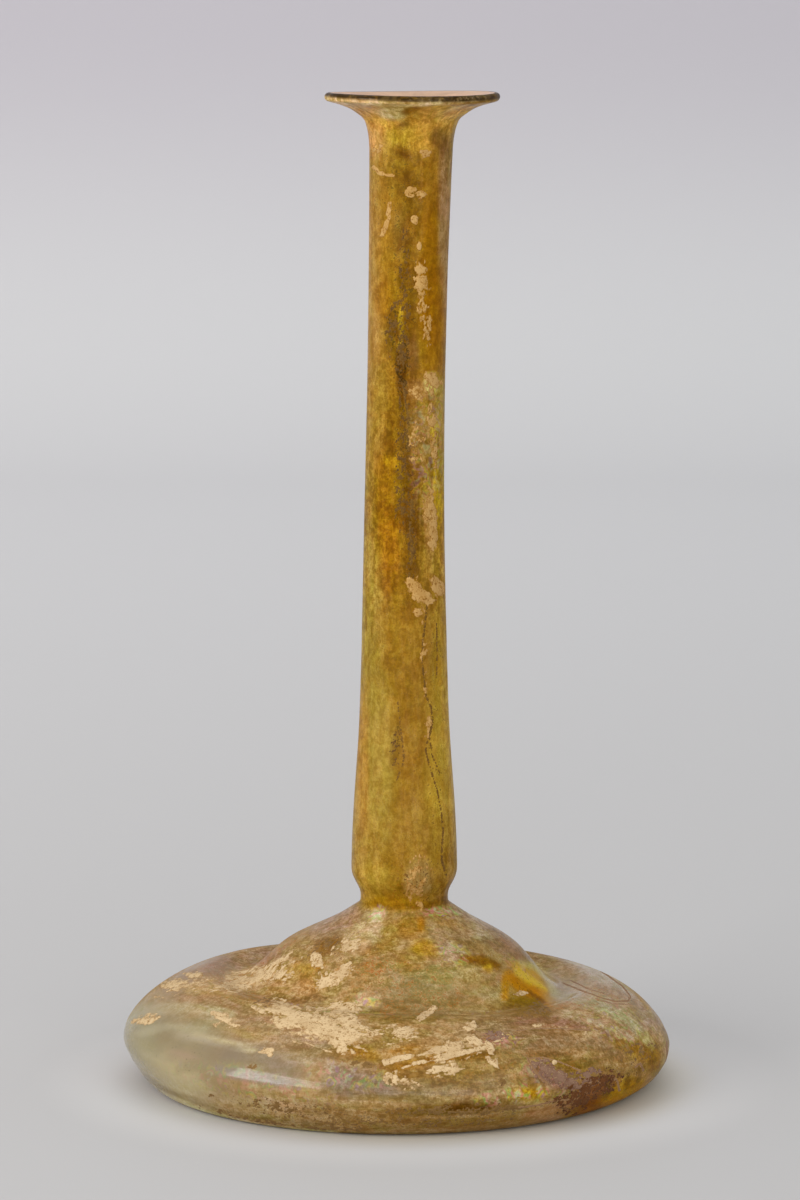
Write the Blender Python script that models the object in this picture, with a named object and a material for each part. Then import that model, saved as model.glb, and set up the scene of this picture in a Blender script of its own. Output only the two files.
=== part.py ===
"""Blown glass unguentarium: a tall flask with a flared mouth, a long neck and a low, wide body.

The vessel is one closed solid with walls of real thickness, hollow from the mouth down to the
floor. Lengths are in metres, +Z is up, and the foot stands on z = 0 with its centre on the
origin. The front of the vessel faces -Y.
"""

import math

import bpy
from mathutils import Vector

# Mouth; the flare's curve is in shares of its reach and rise
TOTAL_HEIGHT = 0.200
LIP_RADIUS = 0.0177
LIP_THICKNESS = 0.0017
FLARE_HEIGHT = 0.0058
FLARE_CURVE = ((0.11, 0.0), (0.35, 0.48), (0.61, 0.76), (1.0, 1.0))

# Neck
NECK_TOP_RADIUS = 0.0083
NECK_SLIM_RADIUS = 0.00785
NECK_SLIM_HEIGHT = 0.134
NECK_LOW_RADIUS = 0.00895
NECK_LOW_HEIGHT = 0.077
NECK_WALL = 0.0018

# The swelling at the foot of the neck and the waist under it
BULB_RADIUS = 0.0107
BULB_HEIGHT = 0.0432
WAIST_RADIUS = 0.0088
WAIST_HEIGHT = 0.0376
WAIST_WALL = 0.0020

# Body
BODY_RADIUS = 0.0556
BELLY_HEIGHT = 0.0085
CROWN_RADIUS = 0.0390
CROWN_HEIGHT = 0.0210
VALLEY_RADIUS = 0.0325
VALLEY_DEPTH = 0.0012
DOME_HEIGHT = 0.0342
DOME_RADIUS = 0.0122
DOME_SWELL = 0.0012
BODY_FULLNESS = 1.6
BODY_WALL = 0.0021

# Foot
FOOT_RADIUS = 0.0482
FOOT_WIDTH = 0.0040
KICK_HEIGHT = 0.0035
FLOOR_WALL = 0.0028

# How far the blown shape strays from a true round
BODY_LEAN = 0.0015
NECK_BEND = 0.0016
NECK_BEND_START = 0.115
NECK_BEND_POWER = 1.3
SHOULDER_SAG = 0.00125
SHOULDER_SAG_ANGLE = math.radians(28)
SAG_START = 0.6
LIP_WAVE = 0.0003
LIP_WAVE_ANGLE = math.radians(-70)

# Fineness of the mesh
SEGMENTS = 56
TURN_PER_STEP = math.radians(15)
SHOULDER_STEPS = 6
EDGE_STEPS = 4
DISH_SHARES = (0.0, 0.35, 0.7)

# Looks of the bare model
GLASS_COLOUR = (0.42, 0.29, 0.12, 1.0)
GLASS_ROUGHNESS = 0.25


def smooth_step(low, high, value):
    """Rise from 0 at low to 1 at high without a corner at either end."""
    share = min(max((value - low) / (high - low), 0.0), 1.0)
    return share * share * (3 - 2 * share)


def swelled_quarter(start, end, steps):
    """Points of a full rounded quarter from a level tangent at start to an upright one at end."""
    points = []
    for step in range(steps + 1):
        angle = math.pi / 2 * step / steps
        across = math.sin(angle) ** (2 / BODY_FULLNESS)
        along = 1 - math.cos(angle) ** (2 / BODY_FULLNESS)
        points.append(start + Vector(((end.x - start.x) * across, (end.y - start.y) * along)))
    return points


def flowing_line(stations):
    """Points of a smooth line through all the stations, closer together where it turns more."""
    count = len(stations)
    slopes = []
    for place in range(count):
        before = stations[max(place - 1, 0)]
        after = stations[min(place + 1, count - 1)]
        slopes.append((after - before).normalized())
    points = [stations[0]]
    for place in range(count - 1):
        start, end = stations[place], stations[place + 1]
        chord = end - start
        reach = chord.length
        turn = slopes[place].angle(chord) + slopes[place + 1].angle(chord)
        steps = max(1, math.ceil(turn / TURN_PER_STEP))
        for step in range(1, steps + 1):
            share = step / steps
            square, cube = share ** 2, share ** 3
            points.append(
                start * (2 * cube - 3 * square + 1)
                + slopes[place] * reach * (cube - 2 * square + share)
                + end * (3 * square - 2 * cube)
                + slopes[place + 1] * reach * (cube - square)
            )
    return points


def wall_at(height):
    """Thickness of the dome, the neck and the mouth at a height."""
    flare_start = TOTAL_HEIGHT - FLARE_HEIGHT
    at_neck = WAIST_WALL + (NECK_WALL - WAIST_WALL) * smooth_step(WAIST_HEIGHT, BULB_HEIGHT, height)
    at_dome = BODY_WALL + (at_neck - BODY_WALL) * smooth_step(CROWN_HEIGHT, WAIST_HEIGHT, height)
    return at_dome + (LIP_THICKNESS - at_dome) * smooth_step(flare_start, TOTAL_HEIGHT, height)


def upper_outline():
    """The outside from the crown of the body, over the dome and up the neck to the lip."""
    valley = Vector((VALLEY_RADIUS, CROWN_HEIGHT - VALLEY_DEPTH))
    dome = Vector((DOME_RADIUS, DOME_HEIGHT))
    outward = (valley - dome).orthogonal().normalized()
    dome_middle = (valley + dome) / 2 + outward * DOME_SWELL
    flare_start = TOTAL_HEIGHT - FLARE_HEIGHT
    lip_underside = TOTAL_HEIGHT - LIP_THICKNESS
    neck_top = Vector((NECK_TOP_RADIUS, flare_start))
    lip = Vector((LIP_RADIUS - LIP_THICKNESS / 2, lip_underside))
    stations = [
        Vector((CROWN_RADIUS, CROWN_HEIGHT)),
        valley,
        dome_middle,
        dome,
        Vector((WAIST_RADIUS, WAIST_HEIGHT)),
        Vector((BULB_RADIUS, BULB_HEIGHT)),
        Vector((NECK_LOW_RADIUS, NECK_LOW_HEIGHT)),
        Vector((NECK_SLIM_RADIUS, NECK_SLIM_HEIGHT)),
        Vector((NECK_TOP_RADIUS, flare_start - FLARE_HEIGHT)),
    ]
    for share_out, share_up in FLARE_CURVE:
        stations.append(neck_top + Vector((
            share_out * (lip.x - neck_top.x), share_up * (lip.y - neck_top.y)
        )))
    return flowing_line(stations)


def set_in(outline):
    """The inside that runs one wall inward of an outline walked upwards."""
    points = []
    last = len(outline) - 1
    for place, point in enumerate(outline):
        direction = outline[min(place + 1, last)] - outline[max(place - 1, 0)]
        inward = Vector((-direction.y, direction.x)).normalized()
        points.append(point + inward * wall_at(point.y))
    return points


def lip_outline(underside, topside):
    """The fire-rounded edge, turned from the underside of the flare over to its inside."""
    middle = (underside + topside) / 2
    half = (underside - topside) / 2
    outward = Vector((-half.y, half.x))
    points = []
    for step in range(1, EDGE_STEPS):
        angle = math.pi * step / EDGE_STEPS
        points.append(middle + half * math.cos(angle) + outward * math.sin(angle))
    return points


def dished(radius, rim_height):
    """Points of the pushed-up base or floor, from its centre almost out to its edge."""
    return [
        Vector((radius * share, rim_height + KICK_HEIGHT * (1 - share ** 2)))
        for share in DISH_SHARES
    ]


def full_outline():
    """The cut through the wall, from the centre of the base around to the centre of the floor."""
    foot_inner = Vector((FOOT_RADIUS - FOOT_WIDTH, 0))
    foot_outer = Vector((FOOT_RADIUS, 0))
    belly = Vector((BODY_RADIUS, BELLY_HEIGHT))
    crown = Vector((CROWN_RADIUS, CROWN_HEIGHT))
    side = swelled_quarter(foot_outer, belly, SHOULDER_STEPS)
    shoulder = swelled_quarter(crown, belly, SHOULDER_STEPS)[::-1]
    upper = upper_outline()
    upper_inside = set_in(upper)
    edge = lip_outline(upper[-1], upper_inside[-1])

    inner_belly = Vector((BODY_RADIUS - BODY_WALL, BELLY_HEIGHT))
    inner_crown = upper_inside[0]
    inner_foot = Vector((FOOT_RADIUS - BODY_WALL, FLOOR_WALL))
    inner_shoulder = swelled_quarter(inner_crown, inner_belly, SHOULDER_STEPS)
    inner_side = swelled_quarter(inner_foot, inner_belly, EDGE_STEPS)[::-1]
    base = dished(foot_inner.x, 0.0)
    floor = dished(inner_foot.x, FLOOR_WALL)[::-1]
    return (
        base + [foot_inner] + side + shoulder[1:] + upper[1:] + edge
        + upper_inside[::-1] + inner_shoulder[1:] + inner_side[1:] + floor
    )


def blown_place(radius, height, angle):
    """Place of a point of the wall, with the lean, the bend and the sag of the hot glass."""
    lean = BODY_LEAN * smooth_step(BELLY_HEIGHT, WAIST_HEIGHT, height)
    above = max(height - NECK_BEND_START, 0.0) / (TOTAL_HEIGHT - NECK_BEND_START)
    bend = NECK_BEND * above ** NECK_BEND_POWER
    sag_share = smooth_step(0.0, SAG_START * BELLY_HEIGHT, height) * (
        1 - smooth_step(CROWN_HEIGHT, WAIST_HEIGHT, height)
    )
    inner_fade = smooth_step(0.0, CROWN_RADIUS, radius)
    sag = SHOULDER_SAG * sag_share * inner_fade * math.cos(angle - SHOULDER_SAG_ANGLE)
    at_mouth = smooth_step(TOTAL_HEIGHT - 2 * FLARE_HEIGHT, TOTAL_HEIGHT, height)
    wave = LIP_WAVE * at_mouth * (1 + math.cos(2 * (angle - LIP_WAVE_ANGLE))) / 2
    return (
        radius * math.cos(angle) + lean + bend,
        radius * math.sin(angle),
        height - sag - wave,
    )


def turn_outline(outline):
    """Vertices and faces of the outline turned once around, closed with a fan at both ends."""
    first, last = outline[0], outline[-1]
    rings = outline[1:-1]
    vertices = [blown_place(0.0, first.y, 0.0)]
    for point in rings:
        for segment in range(SEGMENTS):
            vertices.append(blown_place(point.x, point.y, math.tau * segment / SEGMENTS))
    vertices.append(blown_place(0.0, last.y, 0.0))

    faces = []
    for segment in range(SEGMENTS):
        beside = (segment + 1) % SEGMENTS
        faces.append((0, 1 + beside, 1 + segment))
        for ring in range(len(rings) - 1):
            low = 1 + ring * SEGMENTS
            high = low + SEGMENTS
            faces.append((low + segment, low + beside, high + beside, high + segment))
        top = 1 + (len(rings) - 1) * SEGMENTS
        faces.append((top + segment, top + beside, len(vertices) - 1))
    return vertices, faces


def glass_material():
    """Honey-coloured glass, dulled by its weathered skin."""
    material = bpy.data.materials.new("weathered_glass")
    material.use_nodes = True
    shader = material.node_tree.nodes["Principled BSDF"]
    shader.inputs["Base Color"].default_value = GLASS_COLOUR
    shader.inputs["Roughness"].default_value = GLASS_ROUGHNESS
    shader.inputs["Metallic"].default_value = 0.0
    return material


def make_vessel():
    """The vessel as one object."""
    vertices, faces = turn_outline(full_outline())
    mesh = bpy.data.meshes.new("unguentarium")
    mesh.from_pydata(vertices, [], faces)
    mesh.materials.append(glass_material())
    mesh.update()
    vessel = bpy.data.objects.new("unguentarium", mesh)
    bpy.context.scene.collection.objects.link(vessel)
    for face in mesh.polygons:
        face.use_smooth = True
    return vessel


def main():
    """Clear the scene and build the vessel."""
    for old in list(bpy.data.objects):
        bpy.data.objects.remove(old, do_unlink=True)
    make_vessel()


main()
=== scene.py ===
"""Dresses the blown glass flask: its fine shape, weathered skin, crusts and cracks, and a studio."""

import logging
import math
from dataclasses import dataclass
from enum import Enum, IntEnum
from typing import ClassVar

import bpy
import numpy as np
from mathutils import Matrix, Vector


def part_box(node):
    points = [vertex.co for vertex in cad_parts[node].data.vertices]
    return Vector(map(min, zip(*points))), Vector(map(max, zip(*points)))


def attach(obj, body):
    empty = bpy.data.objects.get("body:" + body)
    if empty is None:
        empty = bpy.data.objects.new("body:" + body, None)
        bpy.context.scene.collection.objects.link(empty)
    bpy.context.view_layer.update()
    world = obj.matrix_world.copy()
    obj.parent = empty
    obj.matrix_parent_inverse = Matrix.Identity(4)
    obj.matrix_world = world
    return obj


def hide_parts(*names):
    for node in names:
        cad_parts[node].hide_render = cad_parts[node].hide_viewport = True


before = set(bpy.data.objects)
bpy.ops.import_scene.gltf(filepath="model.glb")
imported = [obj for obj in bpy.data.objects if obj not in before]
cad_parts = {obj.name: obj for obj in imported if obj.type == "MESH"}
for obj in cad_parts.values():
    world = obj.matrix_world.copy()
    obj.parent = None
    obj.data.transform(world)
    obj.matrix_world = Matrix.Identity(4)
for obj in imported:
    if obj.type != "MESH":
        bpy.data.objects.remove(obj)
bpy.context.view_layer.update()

MM = 0.001
TOTAL_HEIGHT = 0.200
NODE_NAME = "unguentarium"
BODY_NAME = "root"
NECK_START = (0.0356, 0.0372)

LOG = logging.getLogger("flask")

Colour = tuple[float, float, float]


def seen(red: int, green: int, blue: int) -> Colour:
    """A colour as the eye sees it on a screen, from 0 to 255, turned into light."""
    return tuple(((value / 255 + 0.055) / 1.055) ** 2.4 for value in (red, green, blue))


def smooth(low: float, high: float, value: np.ndarray) -> np.ndarray:
    """Rise from 0 at low to 1 at high without a corner at either end.

    Args:
        low: Value where the rise starts.
        high: Value where the rise ends.
        value: Numbers to turn into shares.

    Returns:
        Shares from 0 to 1.
    """
    share = np.clip((value - low) / (high - low), 0.0, 1.0)
    return share * share * (3 - 2 * share)


class Lot(IntEnum):
    """The number that starts each kind of unevenness, so that no two kinds run alike."""

    WAVES = 3
    DIMPLES = 4
    RIPPLES = 5
    TOOLING = 6
    PATCH_EDGES = 11
    NECK_DRIFT = 21
    BODY_DRIFT = 22
    TINT_EDGES = 23
    BACK_TINTS = 40
    CLEAR = 51
    STAIN = 52
    RUST = 53
    SHINE = 54
    MATT = 55
    GOLD = 56
    LIME = 57
    CALM = 58
    FLAKES = 71
    CRUMBS = 72
    LUMPS = 73


@dataclass(frozen=True)
class Grain:
    """Smooth unevenness through space, the same on every run."""

    STEPS: ClassVar[np.ndarray] = np.array((73856093, 19349663, 83492791), dtype=np.uint32)
    seed: int

    def at(self, points: np.ndarray, size: float | Vector) -> np.ndarray:
        """Unevenness at points.

        Args:
            points: Places, one per row, in metres.
            size: Distance between one bump and the next, one for all ways or one for each.

        Returns:
            A number from -1 to 1 for each point.
        """
        scaled = points / np.array(size) + self.seed * 7.31
        base = np.floor(scaled)
        share = scaled - base
        share = share ** 3 * (share * (share * 6 - 15) + 10)
        low = base.astype(np.int64).astype(np.uint32) * self.STEPS
        sides = (low, low + self.STEPS)
        layers = []
        for deep in range(2):
            rows = []
            for high in range(2):
                near, far = (
                    self._lot(sides[wide][:, 0] ^ sides[high][:, 1] ^ sides[deep][:, 2])
                    for wide in range(2)
                )
                rows.append(near + (far - near) * share[:, 0])
            layers.append(rows[0] + (rows[1] - rows[0]) * share[:, 1])
        return layers[0] + (layers[1] - layers[0]) * share[:, 2]

    def layered(self, points: np.ndarray, size: float, layers: int = 3,
                rough: float = 0.5) -> np.ndarray:
        """Unevenness with finer and weaker layers on top.

        Args:
            points: Places, one per row, in metres.
            size: Distance between bumps of the coarsest layer.
            layers: How many layers are added up.
            rough: Strength of each layer, as a share of the one before.

        Returns:
            A number of about -1 to 1 for each point.
        """
        shares = [rough ** layer for layer in range(layers)]
        total = sum(self.at(points, size / 2 ** layer) * shares[layer] for layer in range(layers))
        return total / sum(shares)

    def _lot(self, cells: np.ndarray) -> np.ndarray:
        """A fixed random number for each cell.

        Args:
            cells: One whole number a cell.

        Returns:
            A number from -1 to 1 for each.
        """
        mixed = cells ^ np.uint32(self.seed * 40503)
        mixed = (mixed ^ (mixed >> np.uint32(15))) * np.uint32(2246822519)
        mixed = (mixed ^ (mixed >> np.uint32(13))) * np.uint32(3266489917)
        return ((mixed ^ (mixed >> np.uint32(16))) & np.uint32(0xFFFF)) / 32767.5 - 1


@dataclass(frozen=True)
class FrontView:
    """Where the photographer's lens stands, and how places fall on a plane through the axis."""

    distance: float = 0.964
    height: float = 0.2295
    aside: float = 0.00064
    pitch: float = math.radians(7.755)
    lens_mm: float = 144.9
    foot_drop: float = 0.1065
    edge_on: tuple[float, float] = (-0.02, 0.06)

    def place(self) -> Vector:
        """Where the lens is."""
        return Vector((self.aside, -self.distance, self.height))

    def flatten(self, points: np.ndarray, behind: bool = False) -> np.ndarray:
        """Places as the front view, or the same view from behind, shows them.

        Args:
            points: Places, one per row, in metres.
            behind: Whether to look from behind.

        Returns:
            Millimetres across and up, with 0, 0 under the axis at the foot's near edge.
        """
        turned = -1.0 if behind else 1.0
        away = points[:, 1] * turned + self.distance
        over = points[:, 2] - self.height
        depth = away * math.cos(self.pitch) - over * math.sin(self.pitch)
        rise = over * math.cos(self.pitch) + away * math.sin(self.pitch)
        across = (points[:, 0] * turned - self.aside) * self.distance / depth
        up = rise * self.distance / depth + self.foot_drop
        return np.stack((across, up), axis=1) / MM

    def facing(self, points: np.ndarray, normals: np.ndarray, behind: bool = False) -> np.ndarray:
        """How much the surface faces the view.

        Args:
            points: Places, one per row, in metres.
            normals: The surface's outward directions there.
            behind: Whether to look from behind.

        Returns:
            1 where the view sees the surface and 0 where it faces away, with a short fade.
        """
        eye = np.array(self.place())
        if behind:
            eye = eye * np.array((1.0, -1.0, 1.0))
        toward = eye - points
        toward /= np.linalg.norm(toward, axis=1)[:, None]
        return smooth(*self.edge_on, (toward * normals).sum(axis=1))


@dataclass(frozen=True)
class Patch:
    """A rounded patch of weathering, placed in millimetres as the front view shows it."""

    across: float
    up: float
    half_wide: float
    half_high: float
    turn: float = 0.0
    strength: float = 1.0
    soft: float = 0.45

    def cover(self, places: np.ndarray, wobble: np.ndarray) -> np.ndarray:
        """How much of the patch lies at each place.

        Args:
            places: Millimetres across and up, one row a place.
            wobble: What to add to the distance from the middle, so that the edge runs unevenly.

        Returns:
            The strength inside the patch, down to 0 outside.
        """
        angle = math.radians(self.turn)
        right = places[:, 0] - self.across
        high = places[:, 1] - self.up
        along = right * math.cos(angle) + high * math.sin(angle)
        beside = high * math.cos(angle) - right * math.sin(angle)
        reach = np.hypot(along / self.half_wide, beside / self.half_high) + wobble
        return self.strength * (1 - smooth(1 - self.soft, 1 + self.soft, reach))

    def way(self) -> float:
        """The angle of the patch's own length."""
        return math.radians(self.turn + (90 if self.half_high > self.half_wide else 0))


@dataclass(frozen=True)
class Tint(Patch):
    """A patch that changes the colour under the finer weathering."""

    colour: Colour = (0.5, 0.5, 0.5)


@dataclass(frozen=True)
class Stroke:
    """A thin line of weathering through points, in millimetres as the front view shows them."""

    points: tuple[tuple[float, float], ...]
    half_wide: float
    strength: float = 1.0
    soft: float = 0.5

    def cover(self, places: np.ndarray, wobble: np.ndarray) -> np.ndarray:
        """How much of the stroke lies at each place.

        Args:
            places: Millimetres across and up, one row a place.
            wobble: What to add to the distance from the line, so that it runs unevenly.

        Returns:
            The strength on the line, down to 0 beside it.
        """
        nearest = np.full(len(places), np.inf)
        for start, end in zip(self.points, self.points[1:]):
            way = np.array(end) - start
            share = np.clip((places - start) @ way / (way @ way), 0.0, 1.0)
            gap = places - start - share[:, None] * way
            nearest = np.minimum(nearest, np.hypot(gap[:, 0], gap[:, 1]))
        reach = nearest / self.half_wide + wobble
        return self.strength * (1 - smooth(1 - self.soft, 1 + self.soft, reach))

    def way(self) -> float:
        """The angle from the first point of the stroke to its last."""
        (left, low), (right, high) = self.points[0], self.points[-1]
        return math.atan2(high - low, right - left)


@dataclass(frozen=True)
class TintStroke(Stroke):
    """A stroke that changes the colour under the finer weathering."""

    colour: Colour = (0.5, 0.5, 0.5)


def patches_cover(patches: tuple[Patch | Stroke, ...], places: np.ndarray,
                  wobble: np.ndarray) -> np.ndarray:
    """The most that any of the patches covers each place.

    Args:
        patches: The patches and strokes to lay over each other.
        places: Millimetres across and up, one row a place.
        wobble: Unevenness of the patches' edges at each place.

    Returns:
        Shares from 0 to 1.
    """
    cover = np.zeros(len(places))
    for patch in patches:
        cover = np.maximum(cover, patch.cover(places, wobble))
    return cover


def flowing_line(stations: list[tuple[float, float]], steps: int = 24) -> np.ndarray:
    """A smooth line through stations.

    Args:
        stations: Radius and height of each station.
        steps: Points from one station to the next.

    Returns:
        Radius and height of each point of the line.
    """
    fixed = np.array(stations)
    count = len(fixed)
    before = fixed[np.maximum(np.arange(count) - 1, 0)]
    after = fixed[np.minimum(np.arange(count) + 1, count - 1)]
    slopes = (after - before) / np.linalg.norm(after - before, axis=1)[:, None]
    points = [fixed[0]]
    for place in range(count - 1):
        reach = np.linalg.norm(fixed[place + 1] - fixed[place])
        for share in np.linspace(0, 1, steps + 1)[1:]:
            square, cube = share ** 2, share ** 3
            points.append(
                fixed[place] * (2 * cube - 3 * square + 1)
                + slopes[place] * reach * (cube - 2 * square + share)
                + fixed[place + 1] * (3 * square - 2 * cube)
                + slopes[place + 1] * reach * (cube - square)
            )
    return np.array(points)


@dataclass(frozen=True)
class Outline:
    """A line of radii and heights that can be read at any length along it."""

    points: np.ndarray
    lengths: np.ndarray

    @classmethod
    def through(cls, points: np.ndarray) -> "Outline":
        """An outline through points."""
        steps = np.linalg.norm(np.diff(points, axis=0), axis=1)
        return cls(points, np.concatenate(([0.0], np.cumsum(steps))))

    def at(self, lengths: np.ndarray) -> np.ndarray:
        """Radius and height at lengths along the line."""
        return np.stack([np.interp(lengths, self.lengths, self.points[:, k]) for k in (0, 1)], axis=1)

    def length_at_height(self, height: float, outward: bool = False) -> float:
        """Where the line passes a height.

        Args:
            height: The height.
            outward: Whether the first pass is meant, on the way out from the base, or the last.

        Returns:
            The length along the line.
        """
        side = self.points[:, 0] > self.points[:, 0].max() * 0.85
        below = np.flatnonzero((self.points[:, 1] < height) & (side | (not outward)))
        return float(self.lengths[below[0] if outward else below[-1]])

    def evened(self, spacing: float, passes: int, top: float) -> "Outline":
        """The line with even spacing and with its corners below a height rounded off.

        Args:
            spacing: Distance from point to point.
            passes: How many times each point moves towards its neighbours.
            top: Height above which the line stays as it is.

        Returns:
            The rounded line.
        """
        count = max(2, round(self.lengths[-1] / spacing))
        points = self.at(np.linspace(0, self.lengths[-1], count + 1))
        free = (points[1:-1, 1] < top)[:, None]
        for _ in range(passes):
            softer = (points[:-2] + 2 * points[1:-1] + points[2:]) / 4
            points[1:-1] = np.where(free, softer, points[1:-1])
        return Outline.through(points)


@dataclass(frozen=True)
class BlownShape:
    """The true form of the vessel's wall, in metres, with what strays from a true round."""

    total_height: float
    body_radius: float
    lip_radius: float = 0.0177
    lip_thickness: float = 0.0017
    flare_height: float = 0.0058
    neck_top_radius: float = 0.0083
    neck_slim: tuple[float, float] = (0.00785, 0.134)
    neck_low: tuple[float, float] = (0.00895, 0.077)
    bulb: tuple[float, float] = (0.0107, 0.0432)
    waist: tuple[float, float] = (0.0088, 0.0376)
    dome: tuple[float, float] = (0.0122, 0.0342)
    dome_swell: float = 0.0012
    valley: tuple[float, float] = (0.0325, 0.0198)
    crown: tuple[float, float] = (0.0390, 0.0210)
    belly_height: float = 0.0085
    fullness: float = 1.6
    foot_radius: float = 0.0482
    foot_width: float = 0.0040
    kick_height: float = 0.0035
    neck_wall: float = 0.0018
    waist_wall: float = 0.0020
    body_wall: float = 0.0021
    floor_wall: float = 0.0028
    body_lean: float = 0.0015
    neck_bend: float = 0.0016
    neck_bend_start: float = 0.115
    neck_bend_power: float = 1.3
    sag: float = 0.00125
    sag_angle: float = math.radians(28)
    lip_wave: float = 0.0003
    lip_wave_angle: float = math.radians(-70)
    wave_depth: float = 0.26 * MM
    wave_size: float = 21 * MM
    dimple_depth: float = 0.022 * MM
    dimple_size: float = 4.5 * MM
    ripple_depth: float = 0.11 * MM
    ripple_size: float = 5 * MM
    tooling_depth: float = 0.035 * MM
    tooling_pitch: float = 0.42 * MM
    tooling_drift: float = 15 * MM
    crease_depth: float = 0.32 * MM
    crease_height: float = 0.0366
    crease_width: float = 0.7 * MM
    line_spacing: float = 0.25 * MM
    rounding: int = 12

    def quarter(self, start: tuple[float, float], end: tuple[float, float]) -> np.ndarray:
        """A full rounded quarter, level at its start and upright at its end.

        Args:
            start: Radius and height of the level end.
            end: Radius and height of the upright end.

        Returns:
            Radius and height of its points.
        """
        angle = np.linspace(0, math.pi / 2, 33)
        across = np.sin(angle) ** (2 / self.fullness)
        along = 1 - np.cos(angle) ** (2 / self.fullness)
        return np.array(start) + (np.array(end) - np.array(start)) * np.stack((across, along), axis=1)

    def upper_line(self) -> np.ndarray:
        """The outside from the crown of the body up to the underside of the lip.

        Returns:
            Radius and height of its points.
        """
        valley, dome = np.array(self.valley), np.array(self.dome)
        down_slope = (valley - dome) / np.linalg.norm(valley - dome)
        outward = np.array((-down_slope[1], down_slope[0]))
        middle = (valley + dome) / 2 + outward * self.dome_swell
        start = self.total_height - self.flare_height
        reach = self.lip_radius - self.lip_thickness / 2 - self.neck_top_radius
        rise = self.flare_height - self.lip_thickness
        flare = [
            (self.neck_top_radius + out * reach, start + up * rise)
            for out, up in ((0.11, 0.0), (0.35, 0.48), (0.61, 0.76), (1.0, 1.0))
        ]
        return flowing_line([
            self.crown, self.valley, tuple(middle), self.dome, self.waist, self.bulb,
            self.neck_low, self.neck_slim, (self.neck_top_radius, start - self.flare_height), *flare,
        ])

    def wall_at(self, height: np.ndarray) -> np.ndarray:
        """Thickness of the dome, the neck and the mouth.

        Args:
            height: Heights on the outside, in metres.

        Returns:
            The wall at each height, in metres.
        """
        neck = self.waist_wall + (self.neck_wall - self.waist_wall) * smooth(
            self.waist[1], self.bulb[1], height)
        dome = self.body_wall + (neck - self.body_wall) * smooth(
            self.crown[1], self.waist[1], height)
        start = self.total_height - self.flare_height
        return dome + (self.lip_thickness - dome) * smooth(start, self.total_height, height)

    def set_in(self, line: np.ndarray) -> np.ndarray:
        """The inside, one wall inward of the outside.

        Args:
            line: Radius and height of the outside, walked upwards.

        Returns:
            Radius and height of the inside.
        """
        way = np.gradient(line, axis=0)
        inward = np.stack((-way[:, 1], way[:, 0]), axis=1)
        inward /= np.linalg.norm(inward, axis=1)[:, None]
        return line + inward * self.wall_at(line[:, 1])[:, None]

    def outer(self) -> Outline:
        """The outside, from the centre of the base up to the underside of the lip.

        Returns:
            Its outline.
        """
        foot_inner = self.foot_radius - self.foot_width
        shares = np.linspace(0, 1, 12)
        base = np.stack((foot_inner * shares, self.kick_height * (1 - shares ** 2)), axis=1)
        belly = (self.body_radius, self.belly_height)
        side = self.quarter((self.foot_radius, 0.0), belly)
        shoulder = self.quarter(self.crown, belly)[::-1]
        line = Outline.through(np.concatenate((base, side, shoulder[1:], self.upper_line()[1:])))
        return line.evened(self.line_spacing, self.rounding,
                           self.total_height - 2 * self.flare_height)

    def inner(self) -> Outline:
        """The inside, from the lip down to the centre of the floor.

        Returns:
            Its outline.
        """
        upper = self.set_in(self.upper_line())
        belly = (self.body_radius - self.body_wall, self.belly_height)
        foot = (self.foot_radius - self.body_wall, self.floor_wall)
        shoulder = self.quarter(tuple(upper[0]), belly)
        side = self.quarter(foot, belly)[::-1]
        shares = np.linspace(1, 0, 12)
        floor = np.stack((foot[0] * shares, self.floor_wall + self.kick_height * (1 - shares ** 2)),
                         axis=1)
        line = Outline.through(np.concatenate((upper[::-1], shoulder[1:], side[1:], floor[1:])))
        return line.evened(self.line_spacing, self.rounding,
                           self.total_height - 2 * self.flare_height)

    def lip(self, count: int) -> np.ndarray:
        """The fire-rounded edge between the outside and the inside.

        Args:
            count: How many points it has.

        Returns:
            Radius and height of its points, without its two ends.
        """
        under, over = self.outer().points[-1], self.inner().points[0]
        half = (under - over) / 2
        outward = np.array((-half[1], half[0]))
        angle = np.linspace(0, math.pi, count + 2)[1:-1, None]
        return (under + over) / 2 + half * np.cos(angle) + outward * np.sin(angle)

    def place(self, line: np.ndarray, angle: np.ndarray) -> np.ndarray:
        """Places of the wall, with the lean, the bend and the sag of the hot glass.

        Args:
            line: Radius and height, one row a place.
            angle: Angle about the axis, from +X.

        Returns:
            One place in metres per row.
        """
        radius, height = line[:, 0], line[:, 1]
        lean = self.body_lean * smooth(self.belly_height, self.waist[1], height)
        above = np.maximum(height - self.neck_bend_start, 0.0)
        above = above / (self.total_height - self.neck_bend_start)
        bend = self.neck_bend * above ** self.neck_bend_power
        sag_share = smooth(0.0, 0.6 * self.belly_height, height) * (
            1 - smooth(self.crown[1], self.waist[1], height))
        sag = self.sag * sag_share * smooth(0.0, self.crown[0], radius) * np.cos(
            angle - self.sag_angle)
        at_mouth = smooth(self.total_height - 2 * self.flare_height, self.total_height, height)
        wave = self.lip_wave * at_mouth * (1 + np.cos(2 * (angle - self.lip_wave_angle))) / 2
        return np.stack((
            radius * np.cos(angle) + lean + bend,
            radius * np.sin(angle),
            height - sag - wave,
        ), axis=1)

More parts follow.
